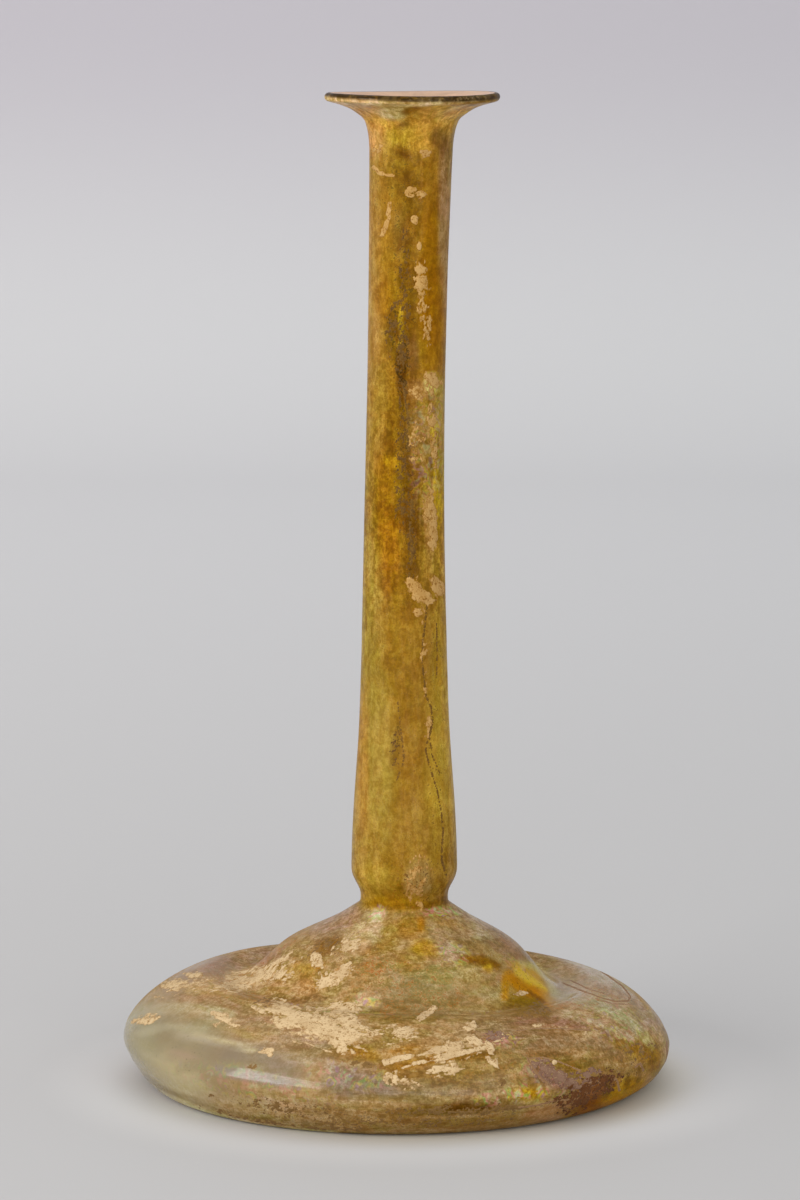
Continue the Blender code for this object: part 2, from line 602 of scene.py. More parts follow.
    def relief(self, points: np.ndarray) -> np.ndarray:
        """How far the outside swells or sinks from the even form.

        Args:
            points: Places on the even form, in metres.

        Returns:
            Metres outward for each place.
        """
        radius = np.hypot(points[:, 0], points[:, 1])
        height = points[:, 2]
        body = smooth(0.012, 0.026, radius)
        lifted = smooth(0.0008, 0.004, height)
        waves = self.wave_depth * Grain(Lot.WAVES).layered(points, self.wave_size, 3, 0.35)
        dimples = self.dimple_depth * Grain(Lot.DIMPLES).layered(points, self.dimple_size)
        neck_way = points * np.array((1.0, 1.0, 0.22))
        ripples = self.ripple_depth * Grain(Lot.RIPPLES).layered(neck_way, self.ripple_size)
        drift = Grain(Lot.TOOLING).at(points, self.tooling_drift)
        tooling = self.tooling_depth * np.sin(height / self.tooling_pitch + 3 * drift)
        side = body * smooth(0.047, 0.053, radius) * (1 - smooth(0.010, 0.014, height))
        at_lip = 1 - smooth(self.total_height - 0.004, self.total_height - 0.001, height)
        crease = self.crease_depth * np.exp(-((height - self.crease_height) / self.crease_width) ** 2)
        return lifted * at_lip * (
            body * (waves + dimples) + (1 - body) * ripples + side * tooling) - crease


@dataclass(frozen=True)
class Skin:
    """The outside of the vessel, which can be read at any place on it."""

    shape: BlownShape
    outline: Outline
    step: float = 0.2 * MM
    turn: float = 0.004
    body_wrap: float = 12.5 * MM
    neck_narrowing: float = 4 * MM
    neck_stretch: float = 0.25

    def sample(self, lengths: np.ndarray, angles: np.ndarray) -> tuple[np.ndarray, np.ndarray]:
        """Places and outward directions on the outside.

        Args:
            lengths: Length along the outline from the centre of the base, one per place.
            angles: Angle about the axis from +X, one per place.

        Returns:
            The places in metres, with the relief, and the directions away from the glass.
        """
        bare = self.shape.place(self.outline.at(lengths), angles)
        up = (self.shape.place(self.outline.at(lengths + self.step), angles)
              - self.shape.place(self.outline.at(lengths - self.step), angles))
        round_way = (self.shape.place(self.outline.at(lengths), angles + self.turn)
                     - self.shape.place(self.outline.at(lengths), angles - self.turn))
        normals = np.cross(round_way, up)
        size = np.linalg.norm(normals, axis=1)[:, None]
        normals = np.where(size > 1e-12, normals / np.maximum(size, 1e-12), (0.0, 0.0, -1.0))
        return bare + normals * self.shape.relief(bare)[:, None], normals

    def drawn(self, lengths: np.ndarray, angles: np.ndarray) -> np.ndarray:
        """Places pressed together the way the glass was drawn out, for grain that runs in streaks.

        Args:
            lengths: Length along the outline, one per place.
            angles: Angle about the axis from +X, one per place.

        Returns:
            Pressed places: around the body, and up along the neck.
        """
        neck_start = self.outline.length_at_height(self.shape.waist[1])
        neck = smooth(neck_start - 3 * MM, neck_start + 6 * MM, lengths)
        radius = self.body_wrap - self.neck_narrowing * neck
        on_neck = np.maximum(lengths - neck_start, 0.0)
        along = np.minimum(lengths, neck_start) + self.neck_stretch * on_neck
        return np.stack((radius * np.cos(angles), radius * np.sin(angles), along), axis=1)


# Colours read off the weathered glass

HONEY = seen(146, 108, 26)
# Painted rim light: the paler colour of the neck's left and right edges.
HONEY_PAINTED_RIM = seen(162, 130, 62)
HONEY_PALE = seen(178, 144, 66)
BODY_TAN = seen(158, 128, 80)
CLEAR_GREY = seen(170, 155, 122)
CREAM = seen(202, 174, 126)
TAN = seen(178, 138, 82)
OCHRE = seen(172, 132, 54)
SIDE_BROWN = seen(132, 103, 62)
VIOLET = seen(136, 98, 84)
PURPLE_BROWN = seen(144, 110, 80)
RUST = seen(156, 84, 14)
NEAR_BLACK = seen(44, 30, 10)
LIP_BROWN = seen(98, 76, 40)

# Broad colours on the front, from the mouth down

NECK_TINTS = (
    Tint(0, 203.6, 16, 3.4, 0, 0.8, colour=seen(220, 168, 74)),
    Tint(8, 205, 5, 2, colour=seen(216, 168, 84)),
    Tint(-8, 205.2, 5, 1.8, colour=seen(212, 166, 100)),
    Tint(-1.6, 203.8, 2.8, 1.3, -8, 0.95, colour=seen(212, 190, 146)),
    Tint(2.4, 204.2, 1.8, 0.8, 15, 0.9, colour=seen(150, 98, 22)),
    Tint(0.8, 201.2, 1.6, 0.9, 30, 0.9, colour=seen(120, 82, 28)),
    Tint(0, 199.2, 3, 1.6, 0, 0.7, colour=seen(186, 150, 44)),
    Tint(5, 199.6, 3.6, 3.6, 0, 0.8, colour=seen(210, 162, 66)),
    Tint(8, 198, 1.6, 3, 20, 0.9, colour=seen(118, 80, 22)),
    Tint(2, 195.2, 4, 0.9, -20, 0.8, colour=seen(130, 88, 22)),
    Tint(-5.4, 198, 2.4, 3.4, 0, 0.8, colour=seen(200, 150, 84)),
    Tint(-3.6, 186.6, 3, 8, 0, 0.5, colour=seen(158, 112, 32)),
    Tint(6, 187.4, 3, 8, 0, 0.6, colour=seen(150, 102, 16)),
    Tint(1, 186.6, 1.8, 6, 0, 0.5, colour=seen(132, 94, 26)),
    Tint(0, 179.6, 2, 5, 0, 0.6, colour=seen(140, 106, 48)),
    Tint(6, 172.4, 2.6, 14, 0, 0.8, colour=seen(148, 98, 8)),
    Tint(8.8, 178.6, 1.2, 16, 0, 0.8, colour=seen(158, 122, 84)),
    Tint(-5.4, 170.6, 1.6, 20, 0, 0.6, colour=seen(174, 132, 68)),
    Tint(-3, 174.6, 2, 7, 0, 0.5, colour=seen(162, 116, 26)),
    Tint(-3, 166.6, 2, 5, 0, 0.7, colour=seen(148, 98, 8)),
    Tint(-1.2, 160, 1.4, 5, 0, 0.6, colour=seen(116, 82, 18)),
    Tint(0.3, 153.6, 1.1, 6, 0, 0.8, colour=seen(92, 58, 8)),
    Tint(7, 160.6, 2.4, 12, 0, 0.8, colour=seen(148, 100, 8)),
    Tint(2.4, 155.6, 1.2, 3.6, 0, 0.8, colour=seen(144, 106, 66)),
    Tint(6.3, 149.8, 1.6, 1.9, 0, 1, 0.3, colour=seen(198, 184, 108)),
    TintStroke(((0.5, 165.4), (0.1, 162), (0.5, 159.4), (0, 157.4)), 0.45, 0.9,
               colour=seen(206, 170, 48)),
    TintStroke(((-2.4, 134.6), (-0.6, 133.6)), 0.7, 0.7, colour=seen(190, 156, 40)),
    TintStroke(((6.6, 141), (7.2, 133), (7, 127), (7.6, 119)), 0.5, 0.8,
               colour=seen(196, 158, 40)),
    Tint(3, 148.6, 2, 2, -20, 0.8, colour=seen(174, 132, 76)),
    Tint(3, 138.6, 2.4, 7, 0, 0.8, colour=seen(158, 126, 66)),
    Tint(8, 140.6, 1.2, 10, 0, 0.7, colour=seen(162, 136, 60)),
    Tint(-4.4, 140.6, 2, 10, 0, 0.6, colour=seen(168, 128, 48)),
    Tint(-2.2, 138.6, 1.4, 7, 0, 0.7, colour=seen(132, 90, 12)),
    Tint(0.6, 142, 0.9, 7, 0, 0.6, colour=seen(112, 80, 20)),
    Tint(-2, 134, 1.8, 1.4, 0, 0.8, colour=seen(176, 138, 26)),
    Tint(-3, 126.6, 2.4, 9, 0, 0.8, colour=seen(140, 98, 8)),
    Tint(1.4, 126.6, 1.2, 9, 0, 0.6, colour=seen(118, 82, 18)),
    Tint(6.2, 122, 1.4, 7, 3, 0.8, colour=seen(176, 132, 70)),
    Tint(7.8, 126, 1, 5, 0, 0.7, colour=seen(178, 140, 18)),
    Tint(-2, 114.6, 3, 9, 0, 0.8, colour=seen(146, 98, 12)),
    Tint(2.4, 117.6, 0.9, 8, 0, 0.7, colour=seen(112, 78, 18)),
    Tint(1, 98.6, 3, 10, 0, 0.5, colour=seen(150, 112, 32)),
    Tint(-5.6, 96.6, 2.6, 20, 0, 0.7, colour=seen(158, 130, 50)),
    Tint(-4, 72, 3.4, 16, 0, 0.7, colour=seen(164, 137, 58)),
    Tint(-7.4, 74.6, 1.2, 12, 0, 0.6, colour=seen(174, 126, 46)),
    Tint(-0.7, 77.6, 1, 5, -8, 0.6, colour=seen(120, 90, 30)),
    Tint(2.4, 74.6, 3, 14, 0, 0.6, colour=seen(150, 110, 32)),
    Tint(8.4, 74.6, 3, 18, 0, 0.8, colour=seen(184, 150, 50)),
    Tint(8.4, 104.6, 2, 16, 0, 0.7, colour=seen(166, 128, 30)),
    Tint(2, 60.6, 4, 6, 0, 0.5, colour=seen(168, 130, 56)),
    Tint(3.6, 49.6, 2.6, 5, 0, 0.8, colour=seen(160, 132, 76)),
    Tint(9, 54.6, 2, 8, 0, 0.6, colour=seen(146, 104, 24)),
    Tint(-4, 47.6, 4, 2, 0, 0.6, colour=seen(148, 112, 28)),
    Tint(0, 46.4, 10, 1.8, 0, 0.8, colour=seen(148, 110, 24)),
    TintStroke(((-9, 47), (-4, 45.2), (1, 44.9), (6, 45.3), (10, 47)), 0.7, 0.8,
               colour=seen(124, 86, 6)),
    Tint(-5, 51, 4.4, 2.6, 0, 0.7, colour=seen(176, 144, 56)),
    Tint(-7.4, 47.4, 2, 1.6, 0, 0.7, colour=seen(168, 132, 44)),
    TintStroke(((3, 190), (2, 176), (1.6, 160), (2, 140), (2.4, 118), (2, 106)),
               1.8, 0.6, colour=seen(116, 76, 0)),
    TintStroke(((-16.4, 207), (-11, 206.1), (-4, 205.6), (4, 205.6), (11, 206),
                (16.8, 207)), 0.6, 1.3, colour=seen(232, 200, 154)),
)

BODY_TINTS = (
    Tint(2.6, 41.4, 3.8, 2.4, 0, 0.8, colour=seen(150, 112, 26)),
    Tint(8.6, 42.6, 3, 1.4, -20, 0.8, colour=seen(150, 116, 44)),
    # Painted highlight: a bright creamy spot under the waist, on the left.
    Tint(-4.4, 43.8, 1.4, 1.2, 40, 0.9, colour=seen(204, 196, 156)),
    Tint(-13, 41.6, 5, 2.4, 32, 0.8, colour=seen(160, 126, 98)),
    Tint(-14.8, 37.3, 3, 1.6, 25, 0.9, colour=seen(130, 92, 26)),
    Tint(-7, 39.7, 4.2, 2.4, 35, 0.8, colour=seen(189, 161, 118)),
    Tint(5, 37, 3, 2, 0, 0.9, colour=seen(166, 126, 36)),
    Tint(4.2, 41.6, 0.8, 1.6, 0, 0.8, colour=seen(160, 104, 14)),
    Tint(-5.6, 36.6, 2, 1, 30, 0.7, colour=seen(146, 106, 30)),
    Tint(-2, 40.4, 1.6, 1.4, 0, 0.7, colour=seen(158, 132, 58)),
    Tint(-16.6, 33.4, 2.2, 1, 20, 0.7, colour=seen(164, 120, 44)),
    Tint(6, 33, 2.2, 1.2, -20, 0.6, colour=seen(140, 108, 46)),
    Tint(-1.6, 32.8, 1.6, 1.6, 0, 0.7, colour=seen(160, 140, 100)),
    Tint(11.6, 37.6, 4.6, 2.8, -30, 0.8, colour=seen(144, 116, 70)),
    Tint(10.6, 36, 2.8, 1.6, -30, 0.8, colour=seen(170, 148, 118)),
    Tint(16.6, 40.4, 3.6, 2, -38, 0.8, colour=seen(172, 152, 112)),
    Tint(21, 38.6, 6, 1.6, -38, 0.8, colour=seen(144, 108, 64)),
    TintStroke(((12.6, 34.8), (16.4, 34.6), (19.4, 33.4)), 0.9, 1, colour=seen(134, 92, 10)),
    Tint(14, 31.6, 3.4, 2, -20, 0.8, colour=seen(160, 138, 76)),
    Tint(17.6, 33, 1, 0.6, 0, 0.9, colour=seen(206, 172, 46)),
    Tint(25.2, 25, 5, 2.8, -10, 1, colour=seen(134, 102, 0)),
    Tint(28, 24.6, 2.2, 1.4, 0, 0.8, colour=seen(108, 78, 8)),
    Tint(26, 31.6, 4.4, 2.4, -35, 1, colour=seen(182, 138, 0)),
    # Painted highlight: a pale band along the outer edge of the amber crescent.
    TintStroke(((24.4, 34.2), (27, 33.6), (29.6, 31.2), (30.8, 28.4)), 0.9, 1,
               colour=seen(186, 168, 104)),
    TintStroke(((21.2, 31.6), (20.9, 29.2), (20.7, 27.4)), 0.8, 1, colour=seen(176, 126, 0)),
    TintStroke(((22, 31.6), (23.6, 29.6), (26, 28.4)), 1.1, 1, colour=seen(172, 118, 0)),
    TintStroke(((23.6, 32.4), (26, 30.6), (28.6, 28.8)), 0.8, 1, colour=seen(206, 172, 40)),
    TintStroke(((26.6, 28.6), (28.4, 27.6), (29.8, 26.3)), 1, 1, colour=seen(178, 120, 0)),
    TintStroke(((26, 28), (27.6, 27.2), (28.8, 26.2)), 0.4, 0.9, colour=seen(120, 78, 0)),
    Tint(3, 29.6, 8, 5, 0, 0.8, colour=seen(148, 131, 92)),
    Tint(-20.6, 32, 2.4, 1.6, 20, 0.8, colour=seen(178, 144, 60)),
    Tint(-19, 29.6, 4, 1.2, -10, 0.7, colour=seen(150, 108, 34)),
    Tint(-3, 37.6, 3, 1.6, 30, 0.7, colour=seen(146, 116, 44)),
    Tint(2, 34, 3.4, 2, 0, 0.7, colour=seen(164, 132, 66)),
    Tint(8.6, 31.6, 4, 2, -10, 0.7, colour=seen(156, 144, 92)),
    Tint(10.6, 27, 3.4, 1.4, 0, 0.6, colour=seen(146, 120, 80)),
    Tint(19.6, 23.6, 3.4, 2, 0, 0.7, colour=seen(152, 118, 48)),
    Tint(30.6, 22.6, 6, 1, -6, 0.7, colour=seen(144, 102, 72)),
    Tint(38, 27.4, 4.6, 1, -18, 0.8, colour=seen(178, 168, 134)),
    Tint(31, 26.4, 3, 1, -30, 0.8, colour=seen(172, 140, 84)),
    Tint(49.6, 22.4, 2.4, 1.6, -40, 0.8, colour=seen(168, 144, 118)),
    Tint(-5.6, 32.6, 4, 2.4, 0, 0.6, colour=seen(152, 122, 70)),
    Tint(2, 25, 9, 2.8, 0, 0.75, colour=seen(127, 104, 56)),
    Tint(-6.4, 26.6, 2.4, 1.6, 0, 0.8, colour=seen(186, 160, 124)),
    Tint(-20, 31.6, 3.4, 2.4, 20, 0.8, colour=seen(170, 132, 62)),
    Tint(-33, 33.6, 10, 2.2, 14, 0.85, colour=seen(160, 128, 102)),
    Tint(-36, 29.6, 12, 2.6, 12, 0.85, colour=seen(184, 152, 106)),
    Tint(-23, 28.6, 6, 3, 18, 0.8, colour=seen(166, 130, 82)),
    Tint(-35, 24.2, 13, 2, -20, 0.85, colour=seen(156, 124, 88)),
    Tint(-47, 16.6, 13, 10, 0, 0.95, colour=seen(150, 135, 100)),
    Tint(-52, 18, 4, 9, 8, 0.7, colour=seen(164, 156, 116)),
    Tint(-36, 18, 9, 0.9, -12, 0.7, colour=seen(186, 172, 144)),
    # Painted highlight: the cool pale colour where the key light's highlight lies on the front shoulder.
    Tint(-29, 11.6, 9, 1.2, -12, 0.8, colour=seen(158, 154, 154)),
    Tint(-46, 13.4, 6, 0.9, -28, 0.6, colour=seen(184, 172, 140)),
    Tint(-43, 15.6, 3, 1, -10, 0.5, colour=seen(176, 146, 122)),
    Tint(-29, 14.2, 10, 4, -12, 0.85, colour=seen(140, 124, 104)),
    Tint(-45, 9, 8, 5, -30, 0.95, colour=seen(184, 168, 124)),
    Tint(-18, 16.6, 7, 3.4, -15, 0.8, colour=seen(160, 137, 111)),
    Tint(-9, 15.6, 5, 1.6, -5, 0.95, colour=seen(138, 98, 26)),
    Tint(6, 9.6, 13, 3, 2, 0.85, colour=seen(128, 102, 62)),
    Tint(2, 14.4, 9, 1.8, 10, 0.8, colour=seen(142, 106, 44)),
    Tint(12.6, 11, 3, 1.6, 0, 0.7, colour=seen(148, 118, 50)),
    Tint(-9, 10, 7, 3, -5, 0.85, colour=seen(126, 108, 93)),
    Tint(24, 20.6, 10, 4.2, 0, 0.8, colour=seen(134, 102, 64)),
    Tint(20, 18.8, 3.4, 1.4, 0, 0.8, colour=seen(158, 108, 92)),
    Tint(42.6, 24.2, 4.4, 1.8, -30, 0.8, colour=seen(170, 152, 112)),
    Tint(45, 17.6, 6, 4.4, -20, 0.8, colour=seen(154, 122, 80)),
    Tint(35, 23.6, 5, 2.4, -15, 0.7, colour=seen(160, 130, 92)),
    Tint(33.6, 13.4, 5, 1.6, -6, 0.9, colour=seen(128, 96, 32)),
    Tint(44, 12.4, 3.4, 2.4, 0, 0.7, colour=seen(150, 118, 56)),
    Tint(47.9, 16.4, 3.4, 1.8, 10, 0.8, colour=seen(146, 112, 32)),
    Tint(29.6, 11.6, 5, 2, -24, 0.9, colour=VIOLET),
    Tint(38, 7.8, 6, 2.6, 28, 0.95, colour=seen(132, 76, 18)),
    Tint(25.4, 8, 4, 1.5, 4, 0.95, colour=seen(172, 134, 22)),
    Tint(19.6, 7.2, 3.4, 1, 6, 0.8, colour=seen(158, 132, 84)),
    Tint(11, 4.9, 12, 1.1, 3, 1, colour=seen(98, 62, 0)),
    Tint(29, 4.2, 6, 1.6, 12, 0.95, colour=seen(168, 122, 80)),
    Tint(39.6, 5, 6, 1.3, 24, 0.9, colour=seen(150, 92, 4)),
    Tint(45, 8, 5, 2.4, 36, 0.95, colour=seen(176, 128, 6)),
    TintStroke(((41.8, 11), (41.4, 8)), 0.6, 0.8, colour=seen(104, 76, 16)),
    TintStroke(((44.4, 10.8), (44.2, 8)), 0.4, 0.8, colour=seen(196, 158, 60)),
    TintStroke(((45.6, 12), (45.2, 9)), 0.4, 0.8, colour=seen(112, 82, 10)),
    TintStroke(((48.2, 13.6), (47.4, 10.4)), 0.5, 0.8, colour=seen(120, 90, 26)),
    # Partly painted fill light: the lower side wall faces the floor and gets little light, so these two
    # bands are lighter than its own olive-brown.
    Tint(-20, 4.6, 17, 3, -9, 0.9, colour=seen(164, 136, 96)),
    Tint(-3, 2.2, 15, 2.6, 0, 0.9, colour=seen(148, 117, 66)),
    Tint(18, 2.4, 9, 1.6, 4, 0.9, colour=seen(144, 108, 52)),
    Tint(-14, 5, 5, 1.2, -6, 0.7, colour=seen(140, 108, 56)),
    Tint(-30, 5.6, 5, 1.4, -12, 0.6, colour=seen(166, 150, 102)),
    Tint(4, 2.4, 5, 1, 0, 0.6, colour=seen(138, 104, 50)),
    Tint(40, 31.6, 7, 1.6, -24, 0.8, colour=seen(182, 165, 134)),
    Tint(51, 16.6, 2.4, 5, 0, 0.9, colour=seen(132, 94, 14)),
    Tint(35, 29.6, 6, 2.4, -28, 0.7, colour=seen(178, 150, 106)),
    TintStroke(((31, 28), (36, 26.6), (41, 25), (46, 22), (50, 18)), 1, 0.8,
               colour=seen(172, 162, 126)),
    TintStroke(((24, 22.4), (30, 22.4), (37, 21.4)), 1.1, 0.8, colour=seen(146, 106, 80)),
    TintStroke(((23, 17.6), (30, 18.6), (38, 18), (44, 16.6)), 1.2, 0.7,
               colour=seen(146, 120, 84)),
    TintStroke(((27, 15.6), (33, 15), (39, 13.6), (44, 12)), 0.9, 0.8,
               colour=seen(126, 98, 42)),
    TintStroke(((33, 24), (40, 22), (46, 19)), 0.8, 0.8, colour=seen(174, 152, 116)),
    TintStroke(((43.6, 18), (47.9, 16.4), (50.6, 15.6)), 1.3, 0.9, colour=seen(144, 106, 26)),
    TintStroke(((50.6, 21), (53, 17), (53, 13.6)), 1, 0.8, colour=seen(170, 144, 108)),
    TintStroke(((-44, 27.2), (-36, 26.4), (-28, 23.6), (-20, 20)), 1, 0.7,
               colour=seen(154, 122, 84)),
    TintStroke(((-50, 24.6), (-42, 25.2), (-34, 24)), 1, 0.8, colour=seen(174, 158, 120)),
    TintStroke(((-41, 20), (-34, 18.2), (-29, 16.6)), 0.6, 0.8, colour=seen(192, 176, 138)),
    TintStroke(((-44, 13), (-36, 14), (-27, 12.8)), 0.9, 0.6, colour=seen(150, 134, 98)),
    TintStroke(((-52, 20), (-46, 21.4), (-39, 20.6)), 0.8, 0.6, colour=seen(182, 172, 136)),
    # Painted light and dark: the foot's double edge at the lower left, a dark line and then a bright line
    # of light through the glass edge.
    TintStroke(((-51, 11.4), (-47, 8.8), (-38, 5.4), (-28, 3), (-13, 1.3)), 0.5, 0.7,
               colour=seen(126, 106, 62)),
    TintStroke(((-50.4, 9.8), (-46.6, 7.4), (-38, 3.9), (-28, 1.6), (-13, 0)), 0.4, 0.9,
               colour=seen(204, 192, 146)),
    TintStroke(((-1, 13.2), (5, 14.2), (11, 15.2), (18, 15.6)), 0.6, 0.9,
               colour=seen(134, 92, 16)),
    TintStroke(((-2, 11.6), (4, 11.4), (10, 11), (16, 12)), 0.9, 0.8,
               colour=seen(140, 104, 40)),
    Tint(0.6, 16.8, 3.4, 1, 10, 0.8, colour=seen(148, 104, 26)),
    TintStroke(((-24, 17.6), (-17, 16.6), (-10, 15.4), (-4, 13.4)), 0.9, 0.7,
               colour=seen(134, 104, 62)),
    TintStroke(((-26, 27), (-20, 26.6), (-15, 27.2)), 0.7, 0.8, colour=seen(130, 96, 44)),
    TintStroke(((20, 13.2), (26, 15.8), (33, 16.2)), 0.8, 0.7, colour=seen(124, 92, 44)),
    TintStroke(((10, 30), (14, 28.4), (19, 28.2)), 1.2, 0.7, colour=seen(160, 144, 96)),
    TintStroke(((17, 38.6), (22, 35.4), (27, 34.8)), 0.8, 0.7, colour=seen(134, 100, 56)),
)

# Where each kind of weathering lies on the front

CLEAR_PATCHES = (
    Patch(-50, 16, 9, 10, 0, 1),
    Patch(-42, 15, 14, 7, -18, 0.9),
    Patch(-28, 13, 12, 4, -14, 0.6),
    Patch(25.6, 32, 4, 2.4, -35, 0.35),
    Patch(41, 30, 8, 2.4, -26, 0.35),
)
GOLD_PATCHES = (
    Patch(25.6, 32.4, 4, 1.8, -35, 0.7),
    Patch(25.6, 28.4, 5.4, 2.6, -26, 1),
    Patch(26, 25, 5, 2.6, -10, 0.8),
    Patch(15.6, 34.4, 3.6, 1.2, -12, 0.9),
    Patch(4.2, 41.4, 1, 1.6, 0, 0.6),
    Patch(5, 37, 3, 2, 0, 0.7),
    Patch(45, 8, 6, 3, 36, 1),
    Patch(38, 5.4, 6, 1.4, 24, 0.9),
    Patch(33.6, 13.4, 5, 1.6, -6, 0.7),
    Patch(25.4, 8, 4, 1.6, 4, 0.9),
    Patch(2, 14.4, 9, 1.8, 10, 0.6),
    Patch(-7.6, 16.2, 5, 2.4, -5, 0.8),
    Patch(11, 5.2, 13, 1, 3, 0.8),
    Patch(0, 45.6, 9, 1.6, 0, 1),
    Patch(6.2, 166, 2.6, 22, 0, 0.9),
    Patch(0, 150, 3, 40, 0, 0.7),
    Patch(-2.6, 121, 3, 14, 0, 0.8),
    Patch(7.6, 128, 1.4, 22, 0, 0.8),
    Patch(-2, 134, 3, 2, 0, 0.8),
    Patch(50, 15.6, 4, 6.6, 10, 0.9),
)
STAIN_PATCHES = (
    Patch(0.6, 168, 2.6, 40, 0, 0.55, 0.6),
    Patch(0.3, 153, 1.6, 8, 0, 1),
    Patch(-1.6, 160, 1.6, 5, 0, 0.9),
    Patch(0.8, 135, 2, 16, 0, 0.7, 0.6),
    Patch(2, 116, 1.4, 9, 0, 0.6),
    Patch(-0.7, 78, 1, 5, -8, 0.6),
    Patch(-2, 190, 4, 8, 0, 0.45),
    Patch(7.4, 80, 2, 26, 0, 0.4),
    Patch(4, 49, 4, 5, 0, 0.5),
    Patch(-14, 36.6, 5, 3, 30, 0.6),
    Patch(26.2, 24.8, 4.6, 2.4, -14, 0.55),
    Patch(37, 8.2, 8, 3.4, 22, 0.9),
    Patch(-18, 3.8, 18, 2.6, -9, 0.45),
    Patch(6, 3, 24, 2.8, 2, 0.45),
    Patch(44, 9, 9, 4, 34, 0.6),
    Patch(22, 33, 10, 5, -35, 0.45),
)
RUST_PATCHES = (
    Patch(-4.6, 33, 5, 2.6, 0, 1),
    Patch(-2.2, 24.4, 2.4, 2, 0, 1),
    Patch(2, 28, 14, 7, 0, 0.75),
    Patch(-14, 35, 8, 4, 30, 0.7),
    Patch(2, 48, 4, 8, 0, 0.6),
    Patch(6, 100, 4, 50, 0, 0.35),
    Patch(22, 14, 14, 5, 0, 0.5),
    Patch(40, 14, 12, 5, -10, 0.5),
)
# Partly real, partly painted light: the flaking layers' iridescent sheen and glints, painted into the
# colour.
SHINE_PATCHES = (
    Patch(25.2, 8.2, 4.6, 1.7, 4, 1),
    Patch(19.4, 7.2, 4, 1.2, 6, 1),
    Patch(32, 8, 3, 1, 20, 0.6),
    Patch(28.6, 12, 6, 2, -20, 0.4),
    Patch(-4.6, 43.8, 1.8, 1.3, 30, 1),
    Patch(8, 44.2, 3.6, 1, 0, 1),
    Patch(10.6, 36, 4, 2, -30, 0.6),
    Patch(23.6, 33.4, 4, 1.4, -35, 0.3),
    Patch(20, 18.8, 4, 1.6, 0, 0.5),
    Patch(-11, 11.6, 8, 2.6, -8, 0.5),
    Patch(-6.4, 26.6, 2.6, 1.8, 0, 0.7),
    Patch(43, 22, 9, 4, -30, 0.36),
    Patch(-30, 10, 16, 3, -10, 0.4),
    Patch(6, 138, 3.4, 12, 0, 0.35),
)
MATT_PATCHES = (
    Patch(-22, 31, 26, 7, 8, 0.85),
    Patch(0, 29, 18, 10, 0, 0.8),
    Patch(4, 20, 16, 6, 0, 0.8),
    Patch(34, 20, 18, 7, -20, 0.7),
    Patch(27.6, 35.4, 5, 2.6, -40, 0.5),
    Patch(35, 30.4, 5, 2, -30, 0.5),
    Patch(-6, 2.6, 40, 3, 0, 0.85),
    Patch(1.5, 150, 5, 46, 0, 0.6),
)
CALM_PATCHES = (
    Patch(0, 76, 14, 30, 0, 0.8, 0.6),
    Patch(-46, 16, 16, 12, 0, 1, 0.6),
    Patch(-20, 12, 18, 5, -8, 0.7, 0.7),
    Patch(6.4, 172, 3.6, 30, 0, 0.7, 0.7),
    Patch(-4.6, 170, 4, 30, 0, 0.6, 0.7),
    Patch(25.6, 29.6, 6, 3.6, -35, 1, 0.5),
    Patch(26, 4, 14, 2.6, 10, 0.3, 0.7),
    Patch(6, 27, 13, 4, 0, 0.5, 0.7),
)
LIME_PATCHES = (
    Patch(-18, 21.4, 10.5, 2.8, -21, 0.95, 0.5),
    Patch(-11.6, 21.6, 4.4, 3.6, -10, 1, 0.5),
    Patch(-13.4, 25, 4.6, 1.6, 6, 0.7, 0.7),
    Patch(-1.8, 19.8, 4.2, 1.5, 6, 0.9, 0.6),
    Patch(12, 17, 6, 1.5, 16, 0.62, 0.7),
    Stroke(((-3, 14.4), (3, 15.6), (9.4, 17.1), (14.6, 19.2)), 0.55, 1.15, 0.6),
    Stroke(((0.6, 13.4), (6, 14.8), (12, 16), (17, 17.2)), 0.5, 1.1, 0.6),
    Stroke(((14.4, 19), (17.4, 17.4), (18, 16.4)), 0.7, 1.1, 0.6),
    Patch(14.4, 21.2, 1.3, 1, 20, 0.85, 0.6),
    Patch(18.8, 14.2, 1.5, 0.9, -48, 0.95, 0.6),
    Patch(8.6, 12.6, 3.6, 0.9, 8, 0.98, 0.6),
    Stroke(((-2, 11.6), (1, 9.6), (4, 8)), 1.1, 0.62, 0.7),
    Patch(5.2, 24, 2.3, 0.7, 34, 0.7),
    Patch(-42, 29.8, 5.6, 1.5, 10, 0.78, 0.7),
    Patch(-31, 30.8, 8, 1.8, 10, 0.70, 0.8),
    Patch(-24, 32.6, 4, 1.2, 30, 0.6, 0.7),
    Stroke(((-16.4, 34.8), (-16, 32.6), (-15, 30.4)), 1, 0.72, 0.8),
    Stroke(((-15.4, 29.8), (-12.6, 31.2), (-10.2, 33.2)), 1.1, 0.9, 0.6),
    Patch(-13, 30.6, 3.2, 1.5, 14, 0.72, 0.6),
    Patch(-9, 38.6, 5, 1.8, 42, 0.5, 0.7),
    Patch(-24, 34.6, 3, 0.6, 30, 0.5, 0.7),
    Patch(-35, 22.4, 3, 1.3, -22, 0.62),
    Patch(-50.6, 22.8, 2.4, 0.8, 10, 0.6),
    Patch(-26.4, 16.2, 1.4, 0.7, 0, 0.62),
    Patch(30.8, 14.2, 0.5, 0.45, 0, 1.3, 0.3),
    Patch(24, 28, 1.5, 0.7, 10, 0.8),
    Patch(27.4, 21.6, 1.2, 0.4, 6, 0.8),
    Patch(36.9, 20, 0.5, 0.4, 0, 0.9),
    Patch(38.6, 9.9, 0.7, 0.5, 30, 0.8),
    Patch(41.2, 10.4, 0.6, 0.4, 40, 0.8),
)
